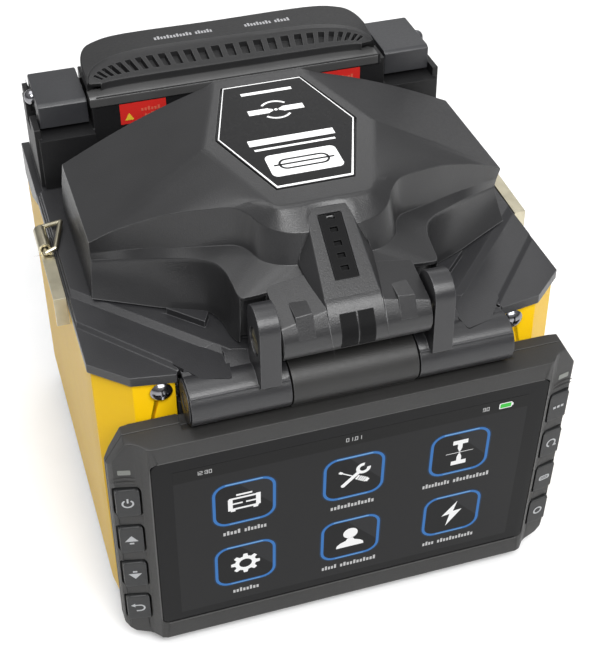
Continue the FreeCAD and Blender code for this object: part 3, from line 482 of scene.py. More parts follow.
# The hood's creases from its front corner (0) to the notch's inner end (1) and the middle plane (1.2).
HOOD_LINES = {
    "rim": [(0, 64.5, 48.5), (0.13, 55.8, 43.7), (0.30, 45.9, 38.1), (0.48, 36.2, 33.5),
            (0.57, 33.4, 31.6), (0.65, 31.5, 26.7), (0.75, 30.6, 20.3), (0.84, 29.4, 17),
            (0.90, 27.3, 15.9), (1, 21.4, 15.9), (1.12, 10, 15.9), (1.2, 0, 15.9)],
    "low": [(0, 62.9, 53.6, 117.8), (0.13, 55.6, 49.2, 119.6), (0.30, 46.9, 43.8, 121.6),
            (0.48, 37, 36.4, 124.4), (0.54, 33.9, 33.6, 125.2), (0.60, 31.5, 30.8, 125.6),
            (0.66, 29.9, 26.9, 125.3), (0.74, 29.3, 22.1, 124.6), (0.82, 29, 17.6, 123.9),
            (0.86, 28.5, 15.9, 123.8), (0.90, 27.2, 15.2, 123.9),
            (1, 21.4, 15.3, shelf_z(21.4, 15.3)), (1.12, 8, 15.3, shelf_z(8, 15.3)),
            (1.2, 0, 15.3, shelf_z(8, 15.3))],
    "mid": [(0, 63, 52.9, 120.7), (0.13, 55.8, 49.8, 122.2), (0.30, 46.8, 45.8, 123.8),
            (0.48, 35, 39.8, 125.8), (0.57, 27.8, 36.5, 126.9), (0.64, 24.2, 34.6, 127.3),
            (0.71, 21.9, 31.5, 127.4), (0.79, 19.9, 26.2, 127.4), (0.87, 17, 23, 127.4),
            (0.94, 13.6, 21.2, 127.4), (1, 10.7, 20.7, 127.4), (1.12, 6, 20.7, 127.4),
            (1.2, 0, 20.7, 127.4)],
    "high": [(0, 63.2, 51.1, 125.6), (0.13, 56.2, 49.4, 129.4), (0.30, 46.9, 46.1, 133.3),
             (0.42, 39.6, 43.1, 136), (0.52, 32.6, 40, 137.7), (0.62, 24.9, 36.5, 139),
             (0.70, 21.2, 33.2, 138.4), (0.77, 19.2, 30, 137.3), (0.85, 16.6, 26.7, 136.6),
             (0.92, 13, 24.2, 136.3), (1, 8.2, 22.6, 136.3), (1.06, 6.9, 22.5, 136.3),
             (1.12, 5.5, 23.6, 135), (1.2, 0, 24, 134.2)],
    "top": [(0, 26.3, 63), (0.30, 22.3, 52.2), (0.52, 17.9, 40.4), (0.64, 15.6, 34),
            (0.72, 15, 32), (0.80, 14.3, 30.4), (0.88, 13, 29.5), (0.94, 10.8, 29.3),
            (1, 7.6, 29.3), (1.2, 0, 29.3)],
}


def seat_point(x, y):
    """Where the line from the plateau's middle through (x, y) crosses the badge seat."""
    dx, dy = x, y - PLATEAU_Y
    for (ax, ay), (bx, by) in zip(SEAT, SEAT[1:]):
        ex, ey = bx - ax, by - ay
        det = dx * ey - dy * ex
        if abs(det) < 1e-9:
            continue
        reach = (ax * ey - (ay - PLATEAU_Y) * ex) / det
        share = (ax * dy - (ay - PLATEAU_Y) * dx) / det
        if reach > 0 and -1e-6 <= share <= 1 + 1e-6:
            return (dx * reach, PLATEAU_Y + dy * reach)
    return (0, SEAT[0][1] if dy < 0 else SEAT[-1][1])


def hood_column(rim, low, mid, high, top, cove=0, recess=0, crown=CROWN):
    """One section of the hood, from the rim up over the creases to the badge seat."""
    rim = (rim[0], rim[1] + recess, RIM_Z)
    if recess:
        wall = [(low[0], rim[1], z) for z in (RIM_Z + 0.5, RIM_Z + 6, low[2] - 2.6)]
        wall.append((low[0], low[1] + 0.4, low[2] - 1.3))
    else:
        out_x, out_y = low[0] - rim[0], low[1] - rim[1]
        size = math.hypot(out_x, out_y) or 1
        wall = []
        for share in (0.25, 0.5, 0.75):
            x, y, z = mix(rim, low, share)
            depth = cove * math.sin(math.pi * share)
            wall.append((x + out_x / size * depth * 0.5, y + out_y / size * depth, z))
        wall.append(mix(rim, low, 0.92))
    top = (top[0], top[1], plateau_z(top[1]))
    x, y, z = mix(high, top, 0.5)
    seat_x, seat_y = seat_point(top[0], top[1])
    brim_z = plateau_z(seat_y)
    line = [rim] + wall + [low, mid, high, (x, y, z + crown), top, (seat_x, seat_y, brim_z),
                           (seat_x, seat_y, brim_z - 1)]
    radii = [0] + [0] * len(wall) + [0.24, 0.24, 0.26, 0, 1.1, 0.2, 0]
    return rounded(line, radii)


SIDE_TOP = ((26.3, 63), (22.6, 73.4))  # edge of the flat top beside the side wall


def hood_side(share):
    """Section on the hood's side wall; share runs from its front corner to its back corner."""
    rim = (64.5, 48.5 + 50 * share)
    low = (62.9 + 1.2 * share, 53.6 + 43.2 * share, 117.8)
    mid = (63 + 0.8 * share, 52.9 + 43.4 * share, 120.7)
    high = (63.2 + 0.2 * share, 51.1 + 44.4 * share, 125.6 - 0.6 * share)
    return hood_column(rim, low, mid, high, mix(*SIDE_TOP, share))


BACK_X, BACK_SHARE = 13.9, 0.80  # where the flat top meets the back wall


def hood_back(share):
    """Section on the back wall, from the back corner to the middle."""
    rim = (64.4 * (1 - share), 98.6 + 2.2 * share, RIM_Z)
    back_z = plateau_z(97.8) - 0.8
    if share > BACK_SHARE:
        x = BACK_X * (1 - (share - BACK_SHARE) / (1 - BACK_SHARE))
        high, top = (x, 98.2, back_z), (x, 97.4)
    else:
        slant = share / BACK_SHARE
        x, y, z = mix((63.4, 95.5, 125), (BACK_X, 98.2, back_z), slant)
        high = (x, y, z + 1.6 * math.sin(math.pi * slant))
        top = mix(SIDE_TOP[1], (BACK_X, 97.4), slant)
    return hood_column(rim, mix(rim, high, 0.45), mix(rim, high, 0.62), high, top)


def hood_columns():
    """All sections of the right half; each end of the notch has one with it and one without."""
    columns = []
    for t in [1.2, 1.12, 1.06] + [1 - 0.01 * i for i in range(101)]:
        lines = [along(HOOD_LINES[k], t) for k in ("rim", "low", "mid", "high", "top")]
        if RECESS_START - 0.005 < t < 1.001:
            columns.append(hood_column(*lines, recess=RECESS, crown=0))
        else:
            crown = CROWN * max(0, min(1, (RECESS_START - t) / 0.16))
            columns.append(hood_column(*lines, cove=COVE if t < RECESS_START else 0, crown=crown))
        for end, place in ((1, -1), (RECESS_START, len(columns))):
            if abs(t - end) < 1e-6:
                columns.insert(place, hood_column(*lines, crown=0))
    columns += [hood_side(i / 16) for i in range(1, 17)]
    columns += [hood_back(i / 30) for i in range(1, 31)]
    return columns


LINING_MIDDLE, LINING_SCALE = (0, 74, 100), (0.955, 0.93, 0.94)
UNLINED = 8  # points of a section above the lining's edge


def lining_point(p):
    """The matching point on the hood's inner skin."""
    x, y, z = (m + s * (c - m) for c, m, s in zip(p, LINING_MIDDLE, LINING_SCALE))
    return (x, y, max(z, RIM_Z))


def build_hood():
    columns = hood_columns()
    inner = [[lining_point(p) for p in column[:-UNLINED]] for column in columns]
    form = Form().grid(columns).grid(inner)
    form.grid([[column[0], lining[0]] for column, lining in zip(columns, inner)])
    form.mirror()
    for skin in (columns, inner):
        edge = [column[-1] for column in skin]
        form.face(*edge, *((-x, y, z) for x, y, z in reversed(edge[1:-1])))
    piece("hood_skin", form, "hood", "hood_plastic", replaces=["hood_shell"])


RIDGE_LOW, RIDGE_HIGH = (3.8, 124.1), (27.8, 140)  # y, z at the two ends of the spine's ridge
STRIP = (10, 25.97, 3.3)  # slotted strip: lowest y, highest y, half width
STRIP_SINK = -0.25
SLOTS_Y = (25.3, 22.1, 18.7, 15.7, 12.6)
SLOT_X, SLOT_HALF = (-1, 1.25), 0.62


def ridge(y, x, lift=0):
    share = (y - RIDGE_LOW[0]) / (RIDGE_HIGH[0] - RIDGE_LOW[0])
    return (x, y, RIDGE_LOW[1] + share * (RIDGE_HIGH[1] - RIDGE_LOW[1]) + lift)


def build_spine():
    """Raised spine with a seat for the slotted strip, and its sloping cheeks."""
    y0, y1, half = STRIP[0] - 0.1, STRIP[1] + 0.1, STRIP[2] + 0.1
    top_in, top_out = ridge(RIDGE_HIGH[0], 6.3), ridge(RIDGE_LOW[0], 8)
    seat_out, seat_in = ridge(y0, half), ridge(y1, half)
    sunk_out, sunk_in = ((x, y + 1.2, z - 2) for x, y, z in (seat_out, seat_in))
    cheek_high, cheek_low = (8.4, 22.8, 136.2), (10.8, 20.2, 127.9)
    foot, nose, back = (8.9, 4.2, 122.9), (8, 3.4, 121.6), (6.3, 29.4, 139.6)
    low_out, low_mid, low_in = (8, 8, 117), (10, 20, 122), (8.5, 29, 132)
    form = Form()
    form.face(top_in, top_out, seat_out, seat_in)
    form.face(seat_out, seat_in, sunk_in, sunk_out)
    form.face(top_in, cheek_high, cheek_low)
    form.face(top_in, cheek_low, foot, top_out)
    form.face(top_out, foot, nose)
    form.face(nose, foot, low_out)
    form.face(foot, cheek_low, low_mid, low_out)
    form.face(cheek_high, cheek_low, low_mid, low_in)
    form.face(top_in, cheek_high, low_in, back)
    form.face(middle_of(low_out), low_out, low_mid, low_in)
    form.face(middle_of(low_out), low_in, middle_of(low_in))
    for first, last in ((top_in, seat_in), (seat_out, top_out), (seat_out, sunk_out), (sunk_in, seat_in),
                        (sunk_out, sunk_in), (top_out, nose), (top_in, back), (back, low_in),
                        (nose, low_out)):
        form.face(first, last, middle_of(last), middle_of(first))
    form.mirror()
    piece("hood_spine", form, "hood", "hood_plastic", bevel=0.35)


def strip_corners(x0, x1, y0, y1):
    return [ridge(y, x, STRIP_SINK) for x, y in ((x0, y0), (x1, y0), (x1, y1), (x0, y1))]


def build_strip():
    """Black strip along the spine with a row of square pits."""
    y0, y1, half = STRIP
    ys = [y0] + sorted(y + d for y in SLOTS_Y for d in (-SLOT_HALF, SLOT_HALF)) + [y1]
    xs = [-half, *SLOT_X, half]
    form = Form().grid([[ridge(y, x, STRIP_SINK) for x in xs] for y in ys])
    count = len(xs) - 1
    pits = [row * count + 1 for row in range(1, len(ys) - 1, 2)]
    form.faces = [face for i, face in enumerate(form.faces) if i not in pits]
    for y in SLOTS_Y:
        rim = strip_corners(*SLOT_X, y - SLOT_HALF, y + SLOT_HALF)
        floor = [(px, py + 0.65, pz - 1) for px, py, pz in rim]
        form.add(rim + floor, [(0, 1, 5, 4), (1, 2, 6, 5), (2, 3, 7, 6), (3, 0, 4, 7), (4, 5, 6, 7)])
    rim = strip_corners(-half, half, y0, y1)
    low = [(px, py + 1, pz - 1.6) for px, py, pz in rim]
    form.add(rim + low, [(0, 1, 5, 4), (2, 3, 7, 6), (4, 5, 6, 7)])
    form.face(*(ridge(y, -half, STRIP_SINK) for y in ys), low[3], low[0])
    form.face(*(ridge(y, half, STRIP_SINK) for y in ys), low[2], low[1])
    piece("spine_strip", form, "hood", "black_plastic", bevel=0.08, replaces=["spine_insert"],
          material="strip_plastic")


BARREL_Y, BARREL_Z, BARREL_R = 6, 116, 6.4
WRAP_R = 6.65  # outside of the arms where they wrap the barrel


def barrel_front(angle, lift=0):
    """Point (y, z) on the arms' wrap; the angle rises from straight ahead."""
    reach, turn = WRAP_R + lift, math.radians(angle)
    return (BARREL_Y - reach * math.cos(turn), BARREL_Z + reach * math.sin(turn))


def build_arms():
    """Two arms that run from the shelf down round the barrel, and the spine's end between them."""
    wrap = [barrel_front(angle) for angle in (40, 25, 10, -10, -30, -50)]
    columns = []
    for x in (21.2, 8):
        crest_y = 3.3 - 1.2 * (x - 8) / 13.2
        crest = (crest_y, shelf_z(x, crest_y))
        outline = [(17, shelf_z(x, 17) + 0.22), (10, shelf_z(x, 10) + 0.1), crest,
                   mix(crest, wrap[0], 0.35)]
        columns.append([(x, y, z) for y, z in outline + wrap + [(8, 110.6), (17, 110)]])
    end = [ridge(8.2, 0, -0.4), ridge(5.6, 0, 0.03), ridge(4.1, 0, 0.03), (0, 2.25, 122.4)]
    columns.append([(8, y, z) for y, z in [p[1:] for p in end] + wrap + [(8, 110.6), (8.2, 112)]])
    columns += [[(-x, y, z) for x, y, z in column] for column in reversed(columns)]
    form = Form().grid(columns, wrap=True).face(*columns[0]).face(*columns[-1])
    piece("hood_arms", form, "hood", "hood_plastic", bevel=0.3)
    for side, label in SIDES:
        block = []
        for x, back_y, rise in ((17, 9.9, 1.3), (12, 8.7, 1)):
            outline = [(back_y, shelf_z(x, back_y) + 0.05), (3, shelf_z(x, 3) + rise),
                       barrel_front(20, 0.1), (4, 115), (back_y, 118)]
            block.append([(side * x, y, z) for y, z in outline])
        piece("hood_arm_block_" + label, Form().prism(*block), "hood", "hood_plastic", bevel=0.25)


def circle(x, centre, radius, count):
    """Ring of points about an axis that runs across the case."""
    turns = [2 * math.pi * i / count for i in range(count)]
    return [(x, centre[0] + radius * math.cos(a), centre[1] + radius * math.sin(a)) for a in turns]


def build_barrel():
    """Hood barrel between the ears, and the two black pads on its middle."""
    rows = [circle(x, (BARREL_Y, BARREL_Z), radius, 48)
            for x, radius in ((0, BARREL_R), (20.7, BARREL_R), (21.3, BARREL_R - 0.5))]
    piece("hood_barrel", Form().grid(rows, wrap=True).face(*rows[-1]).mirror(), "hood", "hood_plastic")
    angles = (40, 33, 25, 18, 10, 0, -10, -20, -30)
    outer = [(2.3, 122.6)] + [barrel_front(a, 0.14) for a in angles]
    inner = [barrel_front(a, -0.6) for a in reversed(angles)] + [(2.9, 122.1)]
    for x0, x1, label in ((-4.95, -0.2, "left"), (0.2, 4.8, "right")):
        pad = Form().across(outer + inner, x0, x1)
        piece("barrel_pad_" + label, pad, "hood", "black_plastic", bevel=0.12, replaces=["barrel_insert"],
              material="strip_plastic")


# ---- screen graphics ----
LEAN = math.radians(4.28)
LIT_TOP = 80
LIT_HALF, LIT_LOW = 54, 15.2
TILE_X = (-33.5, 0, 33.5)
TILE_Z = (61, 32.3)
TILE_HALF_W, TILE_HALF_H, TILE_ROUND = 9.5, 9.2, 4.4


def on_screen(x, up, out):
    """Point on the leaning screen: across, up its face, and out from the glass towards the front."""
    rise = up - LIT_TOP
    c, s = math.cos(LEAN), math.sin(LEAN)
    return (x, -out * c - rise * s, LIT_TOP - out * s + rise * c)


def ring_form(form, outer, inner, place, out, thick):
    """Closed flat ring between two outlines of equally many points."""
    rows = [[place(x, up, level) for x, up in line]
            for line, level in ((outer, out), (outer, out + thick), (inner, out + thick), (inner, out))]
    form.grid(rows + rows[:1], wrap=True)


def decal(name, shapes, material, out, thick, place, body, slot):
    """Flat printed shapes just proud of a surface: an outline each, or a pair of outlines for a ring."""
    form = Form()
    for shape in shapes:
        if isinstance(shape, tuple):
            ring_form(form, *shape, place, out, thick)
        else:
            form.prism([place(x, up, out) for x, up in shape], [place(x, up, out + thick) for x, up in shape])
    piece(name, form, body, slot, material=material)


def moved(shapes, change):
    """The same shapes with every point put through change(x, y)."""
    out = []
    for shape in shapes:
        if isinstance(shape, tuple):
            out.append(tuple([change(x, y) for x, y in line] for line in shape))
        else:
            out.append([change(x, y) for x, y in shape])
    return out


def shifted(shapes, dx, dy):
    return moved(shapes, lambda x, y: (x + dx, y + dy))


def turned(shapes, degrees):
    c, s = math.cos(math.radians(degrees)), math.sin(math.radians(degrees))
    return moved(shapes, lambda x, y: (x * c - y * s, x * s + y * c))


def arc(cx, cy, radius, start, stop, steps=12):
    span = math.radians(stop - start)
    return [(cx + radius * math.cos(math.radians(start) + span * i / steps),
             cy + radius * math.sin(math.radians(start) + span * i / steps)) for i in range(steps + 1)]


def disc(cx, cy, radius, steps=24):
    return arc(cx, cy, radius, 0, 360 * (steps - 1) / steps, steps - 1)


def round_rect(cx, cy, half_w, half_h, radius, steps=6):
    out = []
    for sx, sy, start in ((1, 1, 0), (-1, 1, 90), (-1, -1, 180), (1, -1, 270)):
        out += arc(cx + sx * (half_w - radius), cy + sy * (half_h - radius), radius, start, start + 90, steps)
    return out


def bar(cx, cy, half_w, half_h):
    x0, x1, y0, y1 = cx - half_w, cx + half_w, cy - half_h, cy + half_h
    return [(x0, y0), (x1, y0), (x1, y1), (x0, y1)]


def stroke(ax, ay, bx, by, width):
    """Straight bar between two points."""
    run = math.hypot(bx - ax, by - ay)
    nx, ny = -(by - ay) / run * width / 2, (bx - ax) / run * width / 2
    return [(ax - nx, ay - ny), (bx - nx, by - ny), (bx + nx, by + ny), (ax + nx, ay + ny)]


def bow(cx, cy, outer, inner, start, stop, steps=18):
    """Open band along part of a circle."""
    return arc(cx, cy, outer, start, stop, steps) + arc(cx, cy, inner, stop, start, steps)


def case_icon():
    """Instrument case: two thick end walls, rails, a lifted handle and two bars inside."""
    shapes = [bar(-4.2, -0.3, 0.7, 2.5), bar(4.2, 0.3, 0.7, 2.5), bar(0, 2.3, 4.6, 0.35),
              bar(0, -2.3, 4.4, 0.35), bar(0, 3.7, 2.4, 0.35)]
    for side in (-1, 1):
        shapes += [bar(side * 2, 0, 1.5, 0.3), bar(side * 3.4, -2.9, 0.7, 0.4)]
    return shapes


def tools_icon():
    """Open spanner crossed with a screwdriver."""
    spanner = [stroke(-4.6, 0, 2.2, 0, 1.3), disc(-4.6, 0, 0.72, 14)]
    spanner += [bow(4, 0, 2.3, 1.15, 35, 325)]
    driver = [stroke(-4.6, 0, 0.6, 0, 0.4), bar(-5, 0, 0.6, 0.45), bar(1.4, 0, 0.35, 0.9)]
    driver += [bar(2.3 + 0.75 * i, 0, 0.28, 0.95) for i in range(4)] + [bar(5.1, 0, 0.4, 0.7)]
    return turned(spanner, 45) + turned(driver, -33)


def electrode_icon():
    shapes = []
    for sign in (-1, 1):
        shapes.append(bar(0, sign * 4.5, 2.4, 0.85))
        shapes.append(stroke(0, sign * 3.8, 0, sign * 1.9, 1.5))
        point = [(-0.75, sign * 1.9), (0.75, sign * 1.9), (0.25, sign * 0.55), (-0.25, sign * 0.55)]
        shapes.append(point[::sign])
    return shapes + [stroke(-4.4, 0, 4.4, 0, 0.16), disc(0, 0, 0.3, 10)]


def gear_icon():
    shapes = [(disc(0, 0, 3.35, 32), disc(0, 0, 2, 32))]
    for i in range(8):
        shapes += turned([[(3.1, -0.85), (4.5, -0.6), (4.5, 0.6), (3.1, 0.85)]], 45 * i)
    return shapes


def user_icon():
    right = [(4.5, -4.2), (4.3, -3), (3.2, -2), (1.4, -1.2), (0.9, -0.2)]
    return [disc(0, 2.2, 2.35, 24), right + [(-x, y) for x, y in reversed(right)]]


def bolt_icon():
    return [[(1.6, 5.4), (-3.2, -0.6), (-0.5, -0.2), (-1.5, -5.6), (3.4, 1.2), (0.5, 0.9)]]


SEGMENTS = {"0": "abcdef", "1": "bc", "2": "abged", "3": "abgcd", "9": "abcdfg"}
STROKES = {  # place of each stroke, then its length, both across and up
    "a": (0, 1, 1, 0), "b": (1, 0.5, 0, 1), "c": (1, -0.5, 0, 1), "d": (0, -1, 1, 0), "e": (-1, -0.5, 0, 1),
    "f": (-1, 0.5, 0, 1), "g": (0, 0, 1, 0)}


def digits(text, x, up, size=1.35):
    """Plain seven-segment numerals; a colon or point is small squares."""
    half_w, half_h, thick = size * 0.26, size * 0.5, size * 0.075
    out = []
    for letter in text:
        if letter in SEGMENTS:
            for key in SEGMENTS[letter]:
                sx, sy, flat, tall = STROKES[key]
                out.append(bar(x + sx * half_w, up + sy * half_h, flat * half_w + thick,
                               tall * half_h * 0.5 + thick))
            x += size * 0.85
        else:
            for dy in ((-0.3, 0.3) if letter == ":" else (-0.5,)):
                out.append(bar(x - size * 0.1, up + dy * size, thick * 1.1, thick * 1.1))
            x += size * 0.3
    return out


WORD_GAP, DASH_STEP = 1, 1.05


def caption(cx, up, words, height=1.35):
    """Placeholder for a caption: each word's width is filled with short upright dashes of two heights."""
    x = cx - (sum(words) + WORD_GAP * (len(words) - 1)) / 2
    out = []
    for word in words:
        count = max(2, round(word / DASH_STEP))
        step = word / count
        for i in range(count):
            rise = height * (0.5 if (i * 7 + len(words)) % 3 else 0.68)
            out.append(bar(x + (i + 0.5) * step, up + rise - height * 0.5, step * 0.33, rise))
        x += word + WORD_GAP
    return out


# Name and icon of each tile, and the widths of its caption's words.
ICONS = (("case", case_icon, (5.5, 7)), ("tools", tools_icon, (14,)),
         ("electrodes", electrode_icon, (9, 12)), ("gear", gear_icon, (8.5,)),
         ("user", user_icon, (5, 12)), ("bolt", bolt_icon, (4, 12.5)))
NUMERALS = (("clock", "12:30", -47, 77.6), ("date", "01.01", -2.6, 77.6), ("level", "90", 39.8, 77.4))
# Height of each layer of the picture above the glass, and its thickness.
PICTURE, FLAT, FRAME, GLOSS = (0.005, 0.02), (0.03, 0.02), (0.03, 0.05), (0.052, 0.015)
TEXT, GLINT, ICON = (0.055, 0.02), (0.085, 0.02), (0.085, 0.03)


def show(name, shapes, colour, layer):
    decal(name, shapes, "screen_" + colour, *layer, on_screen, "monitor", "glass")


def tile_outline(cx, cz, grow):
    return round_rect(cx, cz, TILE_HALF_W + grow, TILE_HALF_H + grow, TILE_ROUND + grow)


def build_screen():
    lit = bar(0, (LIT_TOP + LIT_LOW) / 2, LIT_HALF, (LIT_TOP - LIT_LOW) / 2)
    show("screen_image", [lit], "image", PICTURE)
    show("screen_status_bar", [bar(0, 77.5, LIT_HALF, 2.5)], "black", FLAT)
    for i, (label, icon, words) in enumerate(ICONS):
        cx, cz = TILE_X[i % 3], TILE_Z[i // 3]
        tile = "tile_%s_" % label
        halo, outer, inner = (tile_outline(cx, cz, grow) for grow in (0.45, 0, -0.9))
        edge = TILE_HALF_H - 0.37
        show(tile + "halo", [(halo, outer)], "halo", FLAT)
        show(tile + "frame", [(outer, inner)], "blue", FRAME)
        show(tile + "glint", [bar(cx, cz + edge, 5.6, 0.16), bar(cx, cz - edge, 4.6, 0.09)], "sky", GLINT)
        corner = [(cx - 1.6, cz + 8.4), (cx + 8.6, cz + 8.4), (cx + 8.6, cz - 3.4)]
        show(tile + "gloss", [corner], "gloss", GLOSS)
        show(tile + "face", [inner], "tile", FLAT)
        show(tile + "icon", shifted(icon(), cx, cz), "white", ICON)
        show(tile + "caption", caption(cx, cz - 13, words), "text", FLAT)
    for label, text, x, up in NUMERALS:
        show("status_" + label, digits(text, x, up), "text", TEXT)
    battery = round_rect(46.6, 77.4, 2.05, 1.15, 0.35, 3)
    core = round_rect(46.6, 77.4, 1.75, 0.85, 0.2, 3)
    show("status_battery_case", [(battery, core), bar(48.85, 77.4, 0.2, 0.5)], "white", TEXT)
    show("status_battery_level", [core], "green", TEXT)


# ---- keys ----
KEY_COLUMN, KEY_PITCH, KEY_TOP_Z = 66.6, 16.4, 67.6
SYMBOL_SCALE = 0.92
STATUS_LAMP_X, STATUS_LAMP_Z = 66.7, 80.2
# Sloping faces beside the screen: depth behind the glass at the inner edge, slope, and that edge's x.
KEY_FACE, WING_FACE = (2.4, 0.1905, 62.3), (3.2, 0.2333, 63.6)


def on_key(x, up, out):
    depth, slope, edge = KEY_FACE
    return on_screen(x, up, out - depth - slope * (abs(x) - edge))


def on_wing(x, up, out):
    depth, slope, edge = WING_FACE
    return on_screen(x, up, out - depth - slope * (abs(x) - edge))


def key_symbols():
    """Symbol of each key, left column then right column, from the top down, about its own centre."""
    power = [bow(0, 0, 1.9, 1.35, 125, 415), bar(0, 1.3, 0.27, 1)]
    up = [[(-2.1, -0.6), (2.1, -0.6), (0, 2.1)], bar(0, -1.6, 0.7, 0.35)]
    back = [bow(0.4, -0.2, 1.75, 1.2, -90, 90), bar(-0.4, 1.27, 0.8, 0.28), bar(-0.2, -1.67, 0.6, 0.28),
            [(-2.5, 1.27), (-1.1, 0.35), (-1.1, 2.2)]]
    dots = [bar(-1.5 + 1.5 * i, 0, 0.5, 0.5) for i in range(3)]
    again = [bow(0, 0, 1.9, 1.35, -40, 250)] + turned([[(0.8, -1.65), (2.4, -1.65), (1.6, -0.2)]], -4)
    sleeve = [(round_rect(0, 0, 2.1, 1.1, 0.8, 4), round_rect(0, 0, 1.6, 0.6, 0.5, 4)), bar(0, 0, 1.6, 0.16)]
    ring = [(disc(0, 0, 1.8, 28), disc(0, 0, 1.15, 28))]
    return ((("key_power", power), ("key_up", up), ("key_down", turned(up, 180)), ("key_back", back)),
            (("key_set", dots), ("key_restart", again), ("key_heat", sleeve), ("key_arc", ring)))


def build_key_prints():
    for (side, _), column in zip(SIDES, key_symbols()):
        for row, (body, shapes) in enumerate(column):
            small = moved(shapes, lambda x, y: (x * SYMBOL_SCALE, y * SYMBOL_SCALE))
            small = shifted(small, side * KEY_COLUMN, KEY_TOP_Z - row * KEY_PITCH)
            decal(body + "_print", small, "key_print", 0.02, 0.03, on_key, body, "key_rubber")


def build_status_lights():
    """A small lamp above each column of keys, with a moulded lens ridge below it."""
    for side, label in SIDES:
        window = round_rect(side * STATUS_LAMP_X, STATUS_LAMP_Z, 1.75, 0.95, 0.3, 3)
        decal("status_lamp_" + label, [window], "lamp_window", 0.03, 0.06, on_wing, "monitor", "glass")
        for name, up, lift in (("upper", 77, 0), ("lower", 75.6, 0.35)):
            rows = []
            for i in range(15):
                x = side * (62.9 + 0.55 * i)
                crest = up + 0.75 * math.sin(math.pi * i / 14) * (1 - lift)
                thick = 0.5 * math.sin(math.pi * (abs(x) - 62.7) / 8.1) + 0.05
                rows.append([on_wing(x, crest + 0.76 * thick * math.cos(a), -0.1 + thick * math.sin(a))
                             for a in (math.pi * k / 4 for k in range(5))])
            piece("lens_ridge_%s_%s" % (name, label), Form().grid(rows), "monitor", "screen_plastic")


# ---- badge ----
BADGE = [(-11.4, 37.5), (11.4, 37.5), (21.4, 66), (12.5, 93.4), (-12.5, 93.4), (-21.4, 66)]
BADGE_MIDDLE = (0, 65.5)
EMBLEM_Y, PLATE_Y = 77, 48.6


def on_badge(x, y, out):
    return (x, y, 140.17 + 0.0383 * y + out)


def badge_outline(inset):
    """The badge's outline drawn in by inset, corner by corner."""
    cx, cy = BADGE_MIDDLE
    shares = [1 - inset * 1.18 / math.hypot(x - cx, y - cy) for x, y in BADGE]
    return [(cx + (x - cx) * share, cy + (y - cy) * share) for (x, y), share in zip(BADGE, shares)]


def badge_decal(name, shapes, material="badge_print", out=0.02, thick=0.08):
    decal(name, shapes, material, out, thick, on_badge, "hood", "badge")


def build_badge():
    """Plain emblem: two fibre ends meeting in an arc, bars for the names and a light plate with a sleeve."""
    inner = badge_outline(1.25)[:2] + badge_outline(0.8)[2:]  # the line is wider across its lower end
    badge_decal("badge_line", [(badge_outline(0.5), inner)], thick=0.12)
    emblem = [bow(0, EMBLEM_Y, 5, 4.3, start, start + 100, 14) for start in (40, 220)]
    emblem.append(disc(0, EMBLEM_Y, 0.55, 16))
    for side, _ in SIDES:
        tip = ((2.2, -1.1), (0.9, -0.4), (0.9, 0.4), (2.2, 1.1))
        emblem += [bar(side * 5.4, EMBLEM_Y, 3.2, 1.3), [(side * x, EMBLEM_Y + y) for x, y in tip]]
    badge_decal("badge_emblem", emblem)
    bars = [bar(0, 61.2, 13, 1.5), bar(0, 57.4, 12.2, 0.45), bar(0, 87.6, 8, 0.7)]
    badge_decal("badge_bars", bars)
    badge_decal("badge_plate_light", [round_rect(0, PLATE_Y, 10.6, 5.4, 1.8)])
    sleeve = (round_rect(0, PLATE_Y, 7.6, 2.6, 2.5, 8), round_rect(0, PLATE_Y, 6.9, 1.9, 1.8, 8))
    badge_decal("badge_sleeve", [sleeve, bar(0, PLATE_Y, 9, 0.35)], "badge", 0.11, 0.05)


# ---- heater ----
# Along the lid: crest x, y, z, front edge x, y, back edge x, y.
LID_STATIONS = [
    (0.00, -49.3, 121.4, 137.2, -45.4, 120.8, -49.9, 121),
    (0.05, -48.9, 124, 138, -44.4, 121.4, -49.9, 125),
    (0.12, -46.2, 128, 139.2, -41.4, 121.9, -49.9, 131),
    (0.20, -40.4, 131.4, 139.9, -36, 122.2, -48.4, 138.4),
    (0.29, -31, 133.6, 140.2, -28.2, 122.3, -44.6, 143),
    (0.39, -18.4, 134, 140.2, -17.3, 122.3, -34, 146.2),
    (0.50, -3, 133.7, 140.2, -3, 122.3, -3, 146.4),
    (0.61, 12.8, 133.2, 140.2, 11.9, 122.3, 31, 146.2),
    (0.71, 26.6, 132.6, 140.2, 24.6, 122.3, 41.8, 143),
    (0.80, 36.8, 130.4, 139.9, 33.2, 122.2, 45.6, 138.4),
    (0.88, 43, 127, 139.2, 38.6, 121.9, 47.2, 131),
    (0.95, 46, 123.4, 138, 41.6, 121.4, 47.2, 125),
    (1.00, 46.6, 121.4, 137.2, 42.6, 120.8, 47.2, 121),
]
LID_SLOTS, SLOT_DEPTH = 26, 2
SLOT_SHARE = 0.55  # width of a slot as a share of its pitch
LID_TOP, LID_FRONT, LID_FOOT = 140.2, 136.9, 134.4
LID_BAND = (0, 0.03, 0.09, 0.22, 0.275, 0.28, 0.50, 0.80, 0.805, 0.90, 0.97, 1)
SLOT_BAND = (0.28, 0.50, 0.80)  # the sections of the band that the slots cut


def lid_band(station, v, sink=0):
    """Point on the lid's hollowed front band, from its crest (v = 0) to its front edge (v = 1)."""
    ax, ay, az, bx, by = station[:5]
    drop = (az - LID_FRONT) * (0.28 * min(1, v / 0.10) + 0.72 * max(0, v - 0.10) / 0.90)
    return (ax + (bx - ax) * v, ay + (by - ay) * v, az - max(drop, 0.5 * min(1, v / 0.10)) - sink)


